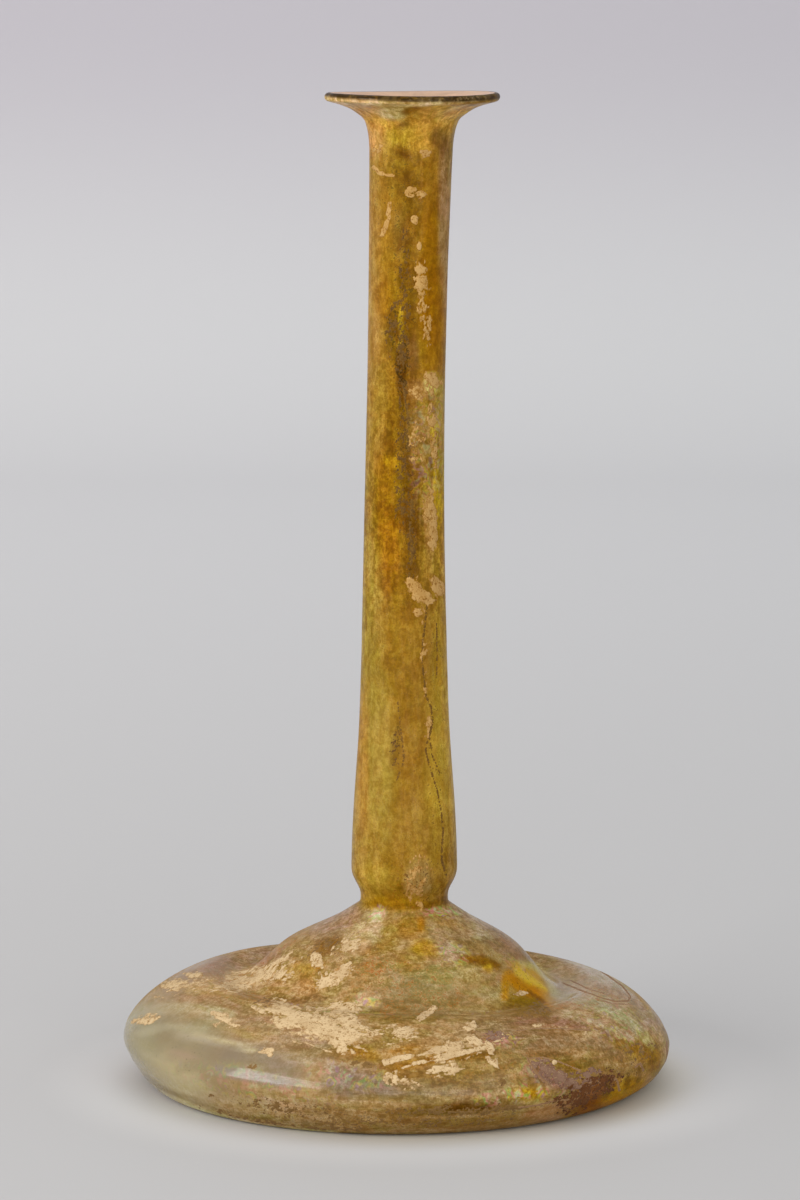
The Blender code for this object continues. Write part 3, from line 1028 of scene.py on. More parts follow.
NECK_LIME_PATCHES = (
    Stroke(((-5.2, 192.8), (-4.2, 191.8), (-2.6, 191.4), (-1.4, 191.2)), 0.4, 1),
    Stroke(((-2, 185.6), (-2.3, 183), (-3, 180.6), (-3.6, 179.4)), 0.42, 1),
    Patch(2.2, 188, 1.2, 1.1, 0, 0.95),
    Patch(4.2, 187.4, 1, 0.9, 0, 0.9),
    Patch(2.9, 182.4, 0.7, 0.9, 0, 1.1),
    Patch(3.9, 177.2, 0.5, 0.9, 0, 1.1),
    Patch(4.2, 171, 1.5, 3.6, 6, 0.95),
    Patch(4.6, 165, 1.2, 2, 0, 0.65),
    Patch(6.2, 149.8, 1.6, 2, 0, 0.8),
    Patch(3.6, 148, 2.4, 1.7, -30, 0.85),
    Patch(5.6, 160, 0.9, 4, 0, 0.55),
    Patch(3, 138, 1.8, 4, 0, 0.36),
    Patch(6.6, 140, 0.8, 7, 4, 0.7),
    Patch(6.2, 122, 1.1, 7, 4, 0.9),
    Patch(3, 108.6, 1.4, 2.6, 20, 1),
    Patch(5, 107.2, 2.2, 1.3, -30, 0.95),
    Patch(7.4, 109.4, 1.4, 1.8, 30, 0.95),
    Patch(3.6, 104, 0.8, 0.8, 0, 0.9),
    Patch(4.8, 93, 0.6, 11, 0, 0.42),
    Patch(5.9, 82, 0.8, 3, 0, 0.5),
    Patch(3.4, 50, 2.2, 6, 0, 0.55),
    Patch(-4.6, 196.6, 1.8, 0.9, 30, 0.7),
    Patch(5, 195.6, 1.1, 0.9, 0, 0.8),
)
DARK_CRUST_PATCHES = (
    Patch(38, 8.7, 5.2, 2.1, 30, 0.80, 0.7),
    Patch(41.4, 11.2, 1.6, 1.2, 50, 0.7, 0.7),
    Patch(34, 7, 3.6, 0.8, 14, 0.5, 0.7),
)
SPECK_PATCHES = (
    Patch(22.5, 5.4, 1.6, 0.7, 0, 0.80),
    Patch(20.4, 10.3, 0.7, 0.6, 0, 0.80),
    Patch(13, 4.6, 10, 0.6, 3, 0.46, 0.7),
    Patch(-23.6, 5, 2.4, 1.2, -10, 0.55, 0.8),
    Patch(-37.6, 7.4, 0.6, 0.6, 0, 0.7),
    Patch(-29.6, 13.4, 0.9, 0.4, 10, 0.62),
    Patch(-45, 12, 12, 7, 0, 0.02, 0.4),
    Patch(-26.6, 26.2, 1.9, 0.9, 12, 0.62, 0.8),
    Patch(-8, 13.9, 2.6, 0.6, -6, 0.6),
    Patch(-20, 4.4, 20, 2.4, -9, 0.045, 0.6),
    Patch(4, 2.6, 22, 1.8, 2, 0.05, 0.6),
    Patch(10, 4.9, 12, 0.7, 3, 0.18, 0.7),
    Stroke(((-40, 5.4), (-30, 2.9), (-20, 1.4), (-8, 0.8)), 0.35, 0.32, 0.7),
    Patch(27.6, 24.8, 2.6, 1.6, -20, 0.22, 0.8),
    Patch(-14.6, 37.2, 3, 1.4, 25, 0.26, 0.8),
    Patch(48, 16, 3.4, 1.6, 10, 0.20, 0.8),
)
VIOLET_PATCHES = (
    Patch(31.6, 11.6, 4.6, 1.7, -26, 0.74, 0.5),
    Patch(36.2, 10.6, 3.4, 1.6, 20, 0.75, 0.5),
    Patch(18.6, 19.6, 2.6, 1, 4, 0.5, 0.7),
)
CRACK_LINES = (
    Stroke(((0.8, 148.8), (1, 146.4), (1.5, 144), (1.6, 141.6), (1.4, 139), (1.7, 136.6)), 0.2),
    Stroke(((2.4, 126.6), (2, 120.6), (2.4, 114.6), (1.6, 110.6)), 0.22, 0.85),
    Stroke(((5.4, 106), (5.1, 102.6), (4.6, 98.6), (4.4, 94.6), (4.8, 90.6), (5.2, 87.2)), 0.16, 0.95),
    Stroke(((5.2, 87.2), (6.2, 85.2), (6.5, 82.6), (5.8, 79.6), (5.1, 76.6), (5.8, 73.6),
            (7.4, 68.6), (8.2, 64.6), (8.6, 60.6), (8.4, 57.6), (8.3, 54.6), (9.2, 51.6)), 0.15, 0.95),
    Stroke(((6.6, 82), (5.9, 79), (6.4, 75.6), (7.9, 72)), 0.12, 0.7),
    Stroke(((-0.4, 86), (0, 81.6), (0.5, 77.6), (0.8, 74.6), (-0.6, 70.6)), 0.15, 0.7),
    Stroke(((7.3, 102), (7.4, 96), (7.3, 91)), 0.12, 0.8),
)
DARK_STAINS = (
    Patch(0.3, 155, 0.9, 6, 0, 0.66, 0.8),
    Patch(-1.5, 160.4, 1.2, 4.4, 0, 0.44, 0.8),
    Patch(0.8, 144, 0.8, 8, 0, 0.44, 0.8),
    Patch(0.6, 131, 1.2, 9, 0, 0.36, 0.8),
    Patch(0.9, 170, 0.9, 8, 0, 0.42, 0.8),
    Patch(2.2, 119, 0.8, 8, 0, 0.40, 0.8),
    Patch(-0.8, 77, 0.8, 3.6, -8, 0.48, 0.8),
)
LOOP_LINES = (
    Stroke(((38.6, 33.4), (41.4, 31.6), (44.4, 29.4), (46, 27.4), (45.6, 26.5), (43, 26.4),
            (40.6, 27), (36.6, 28.4), (32.6, 30)), 0.14, 0.9),
    Stroke(((34, 30.6), (37.6, 28.9), (40.6, 28)), 0.12, 0.8),
    Stroke(((39, 27), (42.6, 25.9), (46.2, 25.8)), 0.12, 0.7),
    Stroke(((25.4, 15), (26.6, 13), (28, 11.2), (30.4, 9.2)), 0.16, 1),
    Stroke(((25.6, 15), (28.6, 15.2), (31.6, 14.4), (36, 12.6)), 0.14, 0.8),
    Stroke(((53.2, 18.4), (53.4, 15.4), (52.6, 12.6), (50.6, 10.8)), 0.20, 0.9),
    Stroke(((47, 13.4), (48, 14), (48.6, 12.6)), 0.14, 0.9),
    Stroke(((42.6, 11.2), (43.4, 10.4), (43.8, 8.6)), 0.18, 0.9),
    Stroke(((23, 5), (27, 5.6), (31, 6.6), (35.6, 7)), 0.15, 0.8),
    Stroke(((23.4, 20.6), (27, 21), (32, 21), (38, 20.6)), 0.12, 0.75),
)


@dataclass(frozen=True)
class BackPatches:
    """Patches that lie by lot on the back, which the photo doesn't show."""

    lot: int
    count: int
    half_wide: float
    on_body: bool = True

    def lay_out(self) -> tuple[Patch, ...]:
        """Draws the patches.

        Returns:
            The patches, as the view from behind shows them.
        """
        lot = np.random.default_rng(self.lot)
        patches = []
        for _ in range(self.count):
            across = lot.uniform(-48, 48) if self.on_body else lot.uniform(-7, 9)
            up = lot.uniform(3, 38) if self.on_body else lot.uniform(45, 200)
            wide = self.half_wide * lot.uniform(0.5, 1.4) * (1.0 if self.on_body else 0.3)
            high = wide * (0.35 if self.on_body else lot.uniform(0.8, 2.5))
            patches.append(Patch(across, up, wide, high, lot.uniform(-20, 20), lot.uniform(0.6, 1)))
        return tuple(patches)


@dataclass(frozen=True)
class Kind:
    """One kind of weathering: where it lies, and how much wider than drawn, in shares of its size."""

    front: tuple[Patch | Stroke, ...]
    back: BackPatches
    grown: float = 0.0


KINDS = {
    "clear": Kind(CLEAR_PATCHES, BackPatches(Lot.CLEAR, 5, 12)),
    "gold": Kind(GOLD_PATCHES, BackPatches(Lot.GOLD, 6, 6)),
    "lime": Kind(LIME_PATCHES + NECK_LIME_PATCHES, BackPatches(Lot.LIME, 6, 9), 0.15),
    "stain": Kind(STAIN_PATCHES, BackPatches(Lot.STAIN, 12, 9, on_body=False)),
    "rust": Kind(RUST_PATCHES, BackPatches(Lot.RUST, 7, 12)),
    "shine": Kind(SHINE_PATCHES, BackPatches(Lot.SHINE, 6, 8)),
    "matt": Kind(MATT_PATCHES, BackPatches(Lot.MATT, 9, 15)),
    "calm": Kind(CALM_PATCHES, BackPatches(Lot.CALM, 4, 16)),
}
BACK_TONES = (CLEAR_GREY, SIDE_BROWN, OCHRE, PURPLE_BROWN, HONEY_PALE)


@dataclass(frozen=True)
class Weathering:
    """What age has left at each point of the skin, laid one by one on the front and by lot behind."""

    view: FrontView
    edge_wobble: float = 0.30
    edge_size: float = 6 * MM
    tint_edge_size: float = 5 * MM
    neck_drift: float = 0.18
    body_drift: float = 0.12
    back_strength: float = 0.8

    def wobble(self, points: np.ndarray) -> np.ndarray:
        """How unevenly the edges of patches run at each point."""
        return self.edge_wobble * Grain(Lot.PATCH_EDGES).layered(points, self.edge_size)

    def lay(self, points: np.ndarray, normals: np.ndarray, kind: Kind) -> np.ndarray:
        """How much one kind of weathering covers each point.

        Args:
            points: Places on the skin, in metres.
            normals: Outward directions there.
            kind: The kind of weathering.

        Returns:
            Shares from 0 to 1.
        """
        wobble = self.wobble(points) - kind.grown
        front = patches_cover(kind.front, self.view.flatten(points), wobble)
        back = patches_cover(kind.back.lay_out(), self.view.flatten(points, True), wobble)
        return np.maximum(front * self.view.facing(points, normals),
                          back * self.view.facing(points, normals, True))

    def ground(self, points: np.ndarray, normals: np.ndarray) -> np.ndarray:
        """The broad colour of the skin, with painted rim light on the neck and some painted highlights
        and painted fill light among the tints.

        Args:
            points: Places on the skin, in metres.
            normals: Outward directions there.

        Returns:
            One colour a row, in light.
        """
        height = points[:, 2]
        body = (1 - smooth(*NECK_START, height))[:, None]
        # Painted rim light: the neck turns paler towards its left and right edges.
        side = np.abs(normals[:, 0])[:, None]
        neck_tone = np.array(HONEY) + (np.array(HONEY_PAINTED_RIM) - np.array(HONEY)) * side ** 3
        drift = Grain(Lot.NECK_DRIFT).layered(points * np.array((1, 1, 0.3)), 7 * MM)[:, None]
        neck_tone = neck_tone * (1 + self.neck_drift * drift)
        drift = Grain(Lot.BODY_DRIFT).layered(points, 14 * MM)[:, None]
        body_tone = np.array(BODY_TAN) * (1 + self.body_drift * drift)
        colour = neck_tone * (1 - body) + body_tone * body
        places = self.view.flatten(points)
        wobble = self.edge_wobble * Grain(Lot.TINT_EDGES).layered(points, self.tint_edge_size)
        faces_front = self.view.facing(points, normals)
        for tints, part in ((NECK_TINTS, 1 - body[:, 0]), (BODY_TINTS, body[:, 0])):
            for tint in tints:
                share = tint.cover(places, wobble) * faces_front * part
                colour = colour + (np.array(tint.colour) - colour) * share[:, None]
        places = self.view.flatten(points, True)
        faces_back = self.view.facing(points, normals, True) * body[:, 0] * (1 - faces_front)
        for number, tone in enumerate(BACK_TONES):
            for patch in BackPatches(Lot.BACK_TINTS + number, 4, 13).lay_out():
                share = patch.cover(places, wobble) * faces_back * self.back_strength
                colour = colour + (np.array(tone) - colour) * share[:, None]
        return np.clip(colour, 0.0, 1.0)

    def masks(self, points: np.ndarray, normals: np.ndarray) -> dict[str, np.ndarray]:
        """Every kind of weathering that the finish reads, by its name.

        Args:
            points: Places on the skin, in metres.
            normals: Outward directions there.

        Returns:
            A share from 0 to 1 for each point, for each kind.
        """
        return {name: self.lay(points, normals, kind) for name, kind in KINDS.items()}


class Channel:
    """One number of a finish that changes over the surface, for use in plain sums."""

    def __init__(self, bench: "Workbench", socket: bpy.types.NodeSocket) -> None:
        """Keeps the bench and the socket that gives the number."""
        self.bench = bench
        self.socket = socket

    def _math(self, operation: str, first: "Channel | float", second: "Channel | float") -> "Channel":
        """A Math node on two numbers."""
        node = self.bench.node("ShaderNodeMath", {"operation": operation}, {0: first, 1: second})
        return Channel(self.bench, node.outputs[0])

    def __add__(self, other: "Channel | float") -> "Channel":
        """This plus other."""
        return self._math("ADD", self, other)

    def __radd__(self, other: float) -> "Channel":
        """Other plus this."""
        return self._math("ADD", other, self)

    def __sub__(self, other: "Channel | float") -> "Channel":
        """This less other."""
        return self._math("SUBTRACT", self, other)

    def __rsub__(self, other: float) -> "Channel":
        """Other less this."""
        return self._math("SUBTRACT", other, self)

    def __mul__(self, other: "Channel | float") -> "Channel":
        """This times other."""
        return self._math("MULTIPLY", self, other)

    def __rmul__(self, other: float) -> "Channel":
        """Other times this."""
        return self._math("MULTIPLY", other, self)

    def __truediv__(self, other: "Channel | float") -> "Channel":
        """This divided by other."""
        return self._math("DIVIDE", self, other)

    def most(self, other: "Channel | float") -> "Channel":
        """The larger of this and other."""
        return self._math("MAXIMUM", self, other)

    def rise(self, low: float, high: float) -> "Channel":
        """A smooth rise from 0 where this is at low to 1 where it is at high.

        Args:
            low: Number where the rise starts; it may be above high, for a fall.
            high: Number where the rise ends.

        Returns:
            The share from 0 to 1.
        """
        start, end = (low, high) if low < high else (high, low)
        node = self.bench.node(
            "ShaderNodeMapRange",
            {"interpolation_type": "SMOOTHSTEP"},
            {"Value": self, "From Min": start, "From Max": end,
             "To Min": 0.0 if low < high else 1.0, "To Max": 1.0 if low < high else 0.0},
        )
        return Channel(self.bench, node.outputs["Result"])


class Blend(Enum):
    """How one colour is laid over another."""

    COVER = "MIX"
    TINT = "MULTIPLY"


class Workbench:
    """Lays out the nodes of one material."""

    def __init__(self, name: str) -> None:
        """Starts an empty material.

        Args:
            name: The material's name.
        """
        self.material = bpy.data.materials.new(name)
        self.material.use_nodes = True
        self.tree = self.material.node_tree
        self.tree.nodes.clear()
        self.output = self.node("ShaderNodeOutputMaterial")
        self.place = self.node("ShaderNodeTexCoord").outputs["Object"]

    def node(self, kind: str, settings: dict | None = None, inputs: dict | None = None) -> bpy.types.Node:
        """Adds a node.

        Args:
            kind: The node's type.
            settings: Its own settings, which are made first.
            inputs: The value or link of each socket, by name or number.

        Returns:
            The new node.
        """
        node = self.tree.nodes.new(kind)
        for name, value in (settings or {}).items():
            setattr(node, name, value)
        for name, value in (inputs or {}).items():
            self.feed(node.inputs[name], value)
        return node

    def feed(self, socket: bpy.types.NodeSocket, value: object) -> None:
        """Gives a socket its link or its plain value.

        Args:
            socket: The socket of a node's input.
            value: A channel or another socket to link, or a number or a colour to set.
        """
        if isinstance(value, Channel):
            self.tree.links.new(value.socket, socket)
        elif isinstance(value, bpy.types.NodeSocket):
            self.tree.links.new(value, socket)
        elif isinstance(value, tuple) and len(value) == 3 and socket.type == "RGBA":
            socket.default_value = (*value, 1.0)
        else:
            socket.default_value = value

    def mask(self, name: str) -> Channel:
        """A number that the mesh carries at each of its points."""
        return Channel(self, self.node("ShaderNodeAttribute", {"attribute_name": name}).outputs["Fac"])

    def painted(self, name: str) -> bpy.types.NodeSocket:
        """A colour that the mesh carries at each of its points."""
        return self.node("ShaderNodeAttribute", {"attribute_name": name}).outputs["Color"]

    def drawn_out(self) -> bpy.types.NodeSocket:
        """Places pressed together the way the glass was drawn, for a grain that runs in streaks."""
        return self.node("ShaderNodeAttribute", {"attribute_name": "drawn"}).outputs["Vector"]

    def grain(self, size: float, detail: float = 3.0, rough: float = 0.55, warp: float = 0.0,
              way: bpy.types.NodeSocket | None = None) -> Channel:
        """Cloudy unevenness from 0 to 1, mostly near the middle.

        Args:
            size: Distance between clouds, in metres.
            detail: How many finer layers there are.
            rough: How strong the finer layers are.
            warp: How much the clouds are pulled about.
            way: Places to read, if not the object's own.

        Returns:
            The unevenness.
        """
        node = self.node("ShaderNodeTexNoise", {}, {
            "Vector": way or self.place, "Scale": 1 / size, "Detail": detail,
            "Roughness": rough, "Distortion": warp,
        })
        return Channel(self, node.outputs["Fac"])

    def blend(self, share: Channel | float, under: object, over: object,
              mode: Blend = Blend.COVER) -> bpy.types.NodeSocket:
        """Lays one colour over another.

        Args:
            share: How much of the upper colour shows.
            under: The lower colour.
            over: The upper colour.
            mode: The way the two are mixed.

        Returns:
            The mixed colour.
        """
        settings = {"data_type": "RGBA", "blend_type": mode.value, "clamp_factor": True}
        node = self.node("ShaderNodeMix", settings, {0: share, 6: under, 7: over})
        return node.outputs[2]

    def bump(self, height: Channel, strength: float, depth: float) -> bpy.types.NodeSocket:
        """A shading direction tilted by a height.

        Args:
            height: The height, in shares of depth.
            strength: How much of the tilt is used.
            depth: Real depth of the relief, in metres.

        Returns:
            The tilted direction.
        """
        node = self.node("ShaderNodeBump", {}, {
            "Height": height, "Strength": strength, "Distance": depth})
        return node.outputs[0]

    def finish(self, shader: bpy.types.NodeSocket) -> bpy.types.Material:
        """Sends a shader to the output and gives the finished material."""
        self.tree.links.new(shader, self.output.inputs["Surface"])
        return self.material


@dataclass(frozen=True)
class WeatheredOutside:
    """Honey glass under a thin skin of age, which is worn away where the glass shows clear."""

    name: str = "weathered_outside"
    glass_tint: Colour = (0.86, 0.80, 0.58)
    glass_roughness: float = 0.07
    glass_ior: float = 1.5
    coat_roughness: float = 0.11
    coat_ior: float = 1.45
    plain_shine: float = 0.02
    relief_depth: float = 0.28 * MM
    glow_tint: Colour = (0.66, 0.50, 0.06)
    glow: float = 0.12

    def build(self) -> bpy.types.Material:
        """Lays out the finish.

        Returns:
            The material of the vessel's outside.
        """
        bench = Workbench(self.name)
        fine = bench.grain(0.42 * MM, 2, 0.6)
        small = bench.grain(1.15 * MM, 4, 0.65)
        medium = bench.grain(3.6 * MM, 5, 0.65, 0.8)
        broad = bench.grain(12 * MM, 3)
        streak = bench.grain(1.2 * MM, 5, 0.65, 0.5, bench.drawn_out())
        band = bench.grain(3.4 * MM, 4, 0.62, 0.9, bench.drawn_out())
        clear, stain, rust = bench.mask("clear"), bench.mask("stain"), bench.mask("rust")
        shine, matt, lip = bench.mask("shine"), bench.mask("matt"), bench.mask("lip")
        gold, lime, neck = bench.mask("gold"), bench.mask("lime"), bench.mask("neck")
        speckle = small * 0.45 + fine * 0.55

        uneven = 0.95 - clear * 0.5 - bench.mask("calm") * 0.5
        colour = bench.painted("ground")
        for share, deep, light in (
            (medium.rise(0.42, 0.58), (0.93, 0.86, 0.70), (1.00, 1.06, 1.06)),
            (band.rise(0.42, 0.58), (1.08, 1.04, 1.18), (0.90, 0.92, 0.72)),
            (small.rise(0.44, 0.56), (0.88, 0.85, 0.76), (1.09, 1.11, 1.16)),
            (streak.rise(0.44, 0.56), (0.85, 0.82, 0.73), (1.13, 1.15, 1.20)),
            (speckle.rise(0.43, 0.57), (0.81, 0.78, 0.67), (1.16, 1.18, 1.24)),
        ):
            tone = bench.blend(share, deep, light)
            colour = bench.blend(uneven, colour, tone, Blend.TINT)
        cloud = bench.grain(5.0 * MM, 4, 0.6, 1.0)
        tone = bench.blend(cloud.rise(0.42, 0.58), (0.80, 0.74, 0.56), (1.14, 1.18, 1.2))
        colour = bench.blend(neck * (0.8 - bench.mask("calm") * 0.5), colour, tone, Blend.TINT)
        gilt = (gold * 0.7 + medium * 1.2 - 0.6).rise(0.40, 0.66)
        colour = bench.blend(gilt * 0.8, colour, (0.98, 0.94, 0.45), Blend.TINT)
        chips = (streak * 0.45 + speckle * 0.55 + matt * 0.03).rise(0.57, 0.60)
        chip_share = chips * uneven * (0.5 - neck * 0.3) * (1 - gold * 0.9)
        colour = bench.blend(chip_share, colour, bench.blend(neck, CREAM, TAN))
        chalk = (lime * 0.36 + streak * 0.6 + speckle * 0.6 - 0.55).rise(0.42, 0.47)
        colour = bench.blend(chalk * lime.rise(0.05, 0.3) * 0.6, colour, bench.blend(neck, CREAM, TAN))
        rust_specks = (fine * 0.6 + small * 0.4 + rust * 0.075).rise(0.60, 0.63)
        colour = bench.blend(rust_specks * rust * 0.75, colour, RUST)
        pits = (speckle + stain * 0.09 + streak * 0.2 - 0.1).rise(0.60, 0.635)
        colour = bench.blend(pits * (stain * 0.5 + 0.35), colour, NEAR_BLACK)
        # Painted iridescent sheen of the flaking layers.
        colour = self._rainbow(bench, colour, shine, speckle)
        # Painted shade: the dark band of the lip seen edge-on, broken by brown.
        lip_shade_share = lip * (1 - small.rise(0.54, 0.62) * 0.2)
        lip_shade_tone = bench.blend(medium.rise(0.47, 0.60) * 0.6, NEAR_BLACK, LIP_BROWN)
        colour = bench.blend(lip_shade_share, colour, lip_shade_tone)

        rough = 0.34 + matt * 0.25 + small.rise(0.45, 0.65) * 0.12 - clear * 0.12
        worn_off = (1 - matt * 0.85) * (1 - pits * 0.6) * (1 - chalk * lime) * (1 - gold * 0.95)
        gloss = worn_off * (0.3 + streak.rise(0.40, 0.60) * 0.3 - neck * 0.28 + clear * 0.45)
        height = (small * 0.45 + fine * 0.3 + streak * 0.25 - pits * 0.4) * (1 - clear * 0.7)
        film = bench.node("ShaderNodeBsdfPrincipled", {}, {
            "Base Color": colour, "Roughness": rough, "Coat Weight": gloss,
            "Coat Roughness": self.coat_roughness, "Coat IOR": self.coat_ior,
            "IOR": self.glass_ior, "Specular IOR Level": self.plain_shine,
            "Normal": bench.bump(height, 0.45, self.relief_depth),
        })
        glow = bench.node("ShaderNodeBsdfTranslucent", {}, {"Color": self.glow_tint})
        skin = bench.node("ShaderNodeMixShader", {}, {
            0: self.glow, 1: film.outputs[0], 2: glow.outputs[0]})
        glass = bench.node("ShaderNodeBsdfPrincipled", {}, {
            "Base Color": self.glass_tint, "Roughness": self.glass_roughness, "IOR": self.glass_ior,
            "Transmission Weight": 1.0, "Normal": bench.bump(broad + small * 0.06, 0.12, 0.3 * MM),
        })
        worn = broad.rise(0.35, 0.65) * 0.1
        through = (clear * (0.26 + worn)).most(0.03) * (1 - lip) * (1 - gold * 0.8)
        return bench.finish(bench.node("ShaderNodeMixShader", {}, {
            0: through, 1: skin.outputs[0], 2: glass.outputs[0]}).outputs[0])

    def _rainbow(self, bench: Workbench, colour: bpy.types.NodeSocket, shine: Channel,
                 speckle: Channel) -> bpy.types.NodeSocket:
        """Paints the faint pink, green and violet iridescent sheen of flaking layers over a colour.

        Args:
            bench: Where the nodes are laid.
            colour: The colour under them.
            shine: How strong they are over the surface.
            speckle: Unevenness that breaks them up.

        Returns:
            The colour with its play of hues.
        """
        hue = bench.grain(2.8 * MM, 1, 0.4, 0.3) * 2.6
        soft = bench.grain(1.5 * MM, 2, 0.5, 0.6)
        ramp = bench.node("ShaderNodeValToRGB")
        ramp.color_ramp.interpolation = "EASE"
        stops = (
            (0.05, seen(214, 190, 150)), (0.25, seen(216, 118, 128)), (0.42, seen(118, 196, 96)),
            (0.58, seen(230, 204, 50)), (0.75, seen(160, 104, 176)), (0.95, seen(190, 214, 160)),
        )
        for number, (where, tone) in enumerate(stops):
            stop = ramp.color_ramp.elements[number] if number < 2 else ramp.color_ramp.elements.new(where)
            stop.position = where
            stop.color = (*tone, 1.0)
        wrapped = bench.node("ShaderNodeMath", {"operation": "FRACT"}, {0: hue})
        bench.feed(ramp.inputs[0], wrapped.outputs[0])
        broken = soft.rise(0.42, 0.58) * (speckle.rise(0.45, 0.58) * 0.2 + 0.4)
        return bench.blend(shine * broken, colour, ramp.outputs[0])


@dataclass(frozen=True)
class WeatheredInside:
    """The inner face, under a dusty film that light still gets through."""

    name: str = "weathered_inside"
    film_tone: Colour = seen(178, 156, 116)
    thin_tone: Colour = seen(164, 134, 84)
    dust_tone: Colour = seen(190, 166, 130)
    mouth_tone: Colour = seen(214, 176, 148)
    glass_tint: Colour = (0.88, 0.84, 0.66)
    glass_roughness: float = 0.06
    glass_ior: float = 1.5

    def build(self) -> bpy.types.Material:
        """Lays out the finish.

        Returns:
            The material of the vessel's inside.
        """
        bench = Workbench(self.name)
        medium = bench.grain(5 * MM, 5, 0.6, 0.5)
        small = bench.grain(1.4 * MM, 4, 0.6)
        mouth = bench.mask("mouth")
        colour = bench.blend(medium.rise(0.30, 0.70), self.film_tone, self.thin_tone)
        colour = bench.blend(small.rise(0.55, 0.68) * 0.25, colour, self.dust_tone)
        colour = bench.blend(mouth, colour, self.mouth_tone)
        film = bench.node("ShaderNodeBsdfPrincipled", {}, {
            "Base Color": colour, "Roughness": 0.5 + small * 0.2, "IOR": self.glass_ior,
            "Specular IOR Level": 0.2, "Normal": bench.bump(small, 0.15, 0.2 * MM),
        })
        glass = bench.node("ShaderNodeBsdfPrincipled", {}, {
            "Base Color": self.glass_tint, "Roughness": self.glass_roughness,
            "IOR": self.glass_ior, "Transmission Weight": 1.0,
        })
        bare = medium.rise(0.30, 0.70) * 0.2 + 0.25
        return bench.finish(bench.node("ShaderNodeMixShader", {}, {
            0: bare, 1: film.outputs[0], 2: glass.outputs[0]}).outputs[0])


@dataclass(frozen=True)
class CrustFinish:
    """A dull crust with fine pits and darker flecks."""

    name: str
    pale: Colour
    deep: Colour
    fleck: Colour
    roughness: float = 0.72

    def build(self) -> bpy.types.Material:
        """Lays out the finish.

        Returns:
            The material of a crust.
        """
        bench = Workbench(self.name)
        fine = bench.grain(0.32 * MM, 3, 0.65)
        small = bench.grain(1.0 * MM, 4, 0.65)
        medium = bench.grain(3.4 * MM, 3, 0.6)
        thick = bench.mask("thick")
        colour = bench.blend(thick.rise(0.0, 0.5), self.deep, self.pale)
        colour = bench.blend(medium.rise(0.48, 0.60) * 0.4, colour, self.deep)
        colour = bench.blend((small * 0.6 + fine * 0.4).rise(0.50, 0.56) * 0.6, colour, self.deep)
        colour = bench.blend((fine * 0.55 + small * 0.45).rise(0.555, 0.59) * 0.75, colour, self.fleck)
        shader = bench.node("ShaderNodeBsdfPrincipled", {}, {
            "Base Color": colour, "Roughness": self.roughness + fine * 0.15,
            "Specular IOR Level": 0.15,
            "Normal": bench.bump(fine * 0.5 + small * 0.5, 0.6, 0.2 * MM),
        })
        return bench.finish(shader.outputs[0])


@dataclass(frozen=True)
class PaleGround:
    """The pale, plain sheet that the flask stands on, which sweeps up behind it, with painted light and
    shade in its colour.
    """

    name: str
    # Painted light and shade: the colours below paint the fall of light over the sweep, shade on its
    # right, and a pool of light and a warm glow of light through the glass round the foot.
    near: Colour = seen(182, 181, 181)
    far: Colour = seen(212, 212, 213)
    high: Colour = seen(192, 188, 194)
    shaded: Colour = (0.93, 0.94, 0.94)
    lit: Colour = (1.22, 1.22, 1.22)
    painted_glow: Colour = (1.0, 0.965, 0.85)
    lit_fade: tuple[float, float] = (0.0026, 0.0062)
    painted_glow_fade: tuple[float, float] = (0.0022, 0.0040)

    def build(self) -> bpy.types.Material:
        """Lays out the finish.

        Returns:
            The material of the sweep.
        """
        bench = Workbench(self.name)
        split = bench.node("ShaderNodeSeparateXYZ", {}, {0: bench.place})
        across, away, height = (Channel(bench, split.outputs[name]) for name in "XYZ")
        # Painted fall of light: darker near the camera, brighter far back, darker and a touch lilac up
        # the sweep.
        colour = bench.blend(away.rise(-0.2, 1.2), self.near, self.far)
        colour = bench.blend(height.rise(0.02, 0.2), colour, self.high)
        # Painted shade: darker to the right, away from the key light.
        colour = bench.blend(across.rise(-0.35, 0.35), colour, self.shaded, Blend.TINT)
        # Painted pool of light round the foot, standing in for light that comes through the glass into
        # its shadow.
        out = across * across + away * away - across * 0.006
        colour = bench.blend(1 - out.rise(*self.lit_fade), colour, self.lit, Blend.TINT)
        # Painted warm glow of light through the glass, on the floor right of the foot.
        painted_glow_share = (1 - out.rise(*self.painted_glow_fade)) * across.rise(-0.04, 0.0)
        colour = bench.blend(painted_glow_share, colour, self.painted_glow, Blend.TINT)
        dust = bench.grain(1.2 * MM, 4)
        shader = bench.node("ShaderNodeBsdfPrincipled", {}, {
            "Base Color": colour, "Roughness": 0.62, "Specular IOR Level": 0.25,
            "Normal": bench.bump(dust, 0.08, 0.1 * MM),
        })
        return bench.finish(shader.outputs[0])


def new_piece(name: str, points: np.ndarray, faces: list[list[int]],
              materials: list[bpy.types.Material]) -> bpy.types.Object:
    """Makes a smooth mesh piece that rides with the vessel.

    Args:
        name: The piece's name.
        points: Its vertices, one a row.
        faces: The vertex numbers of each face.
        materials: Its materials.

    Returns:
        The new piece.
    """
    mesh = bpy.data.meshes.new(name)
    mesh.from_pydata(points.tolist(), [], faces)
    for material in materials:
        mesh.materials.append(material)
    mesh.polygons.foreach_set("use_smooth", [True] * len(mesh.polygons))
    mesh.update()
    piece = bpy.data.objects.new(name, mesh)
    bpy.context.scene.collection.objects.link(piece)
    return piece


def carry(piece: bpy.types.Object, name: str, values: np.ndarray, kind: str = "FLOAT",
          part: str = "value") -> None:
    """Stores a number, a colour or a place at each point of a piece.

    Args:
        piece: The piece that carries the values.
        name: The name that its finish reads.
        values: One row for each vertex.
        kind: What the values are.
        part: What the kind calls its values.
    """
    layer = piece.data.attributes.new(name, kind, "POINT")
    layer.data.foreach_set(part, values.astype(np.float32).ravel())


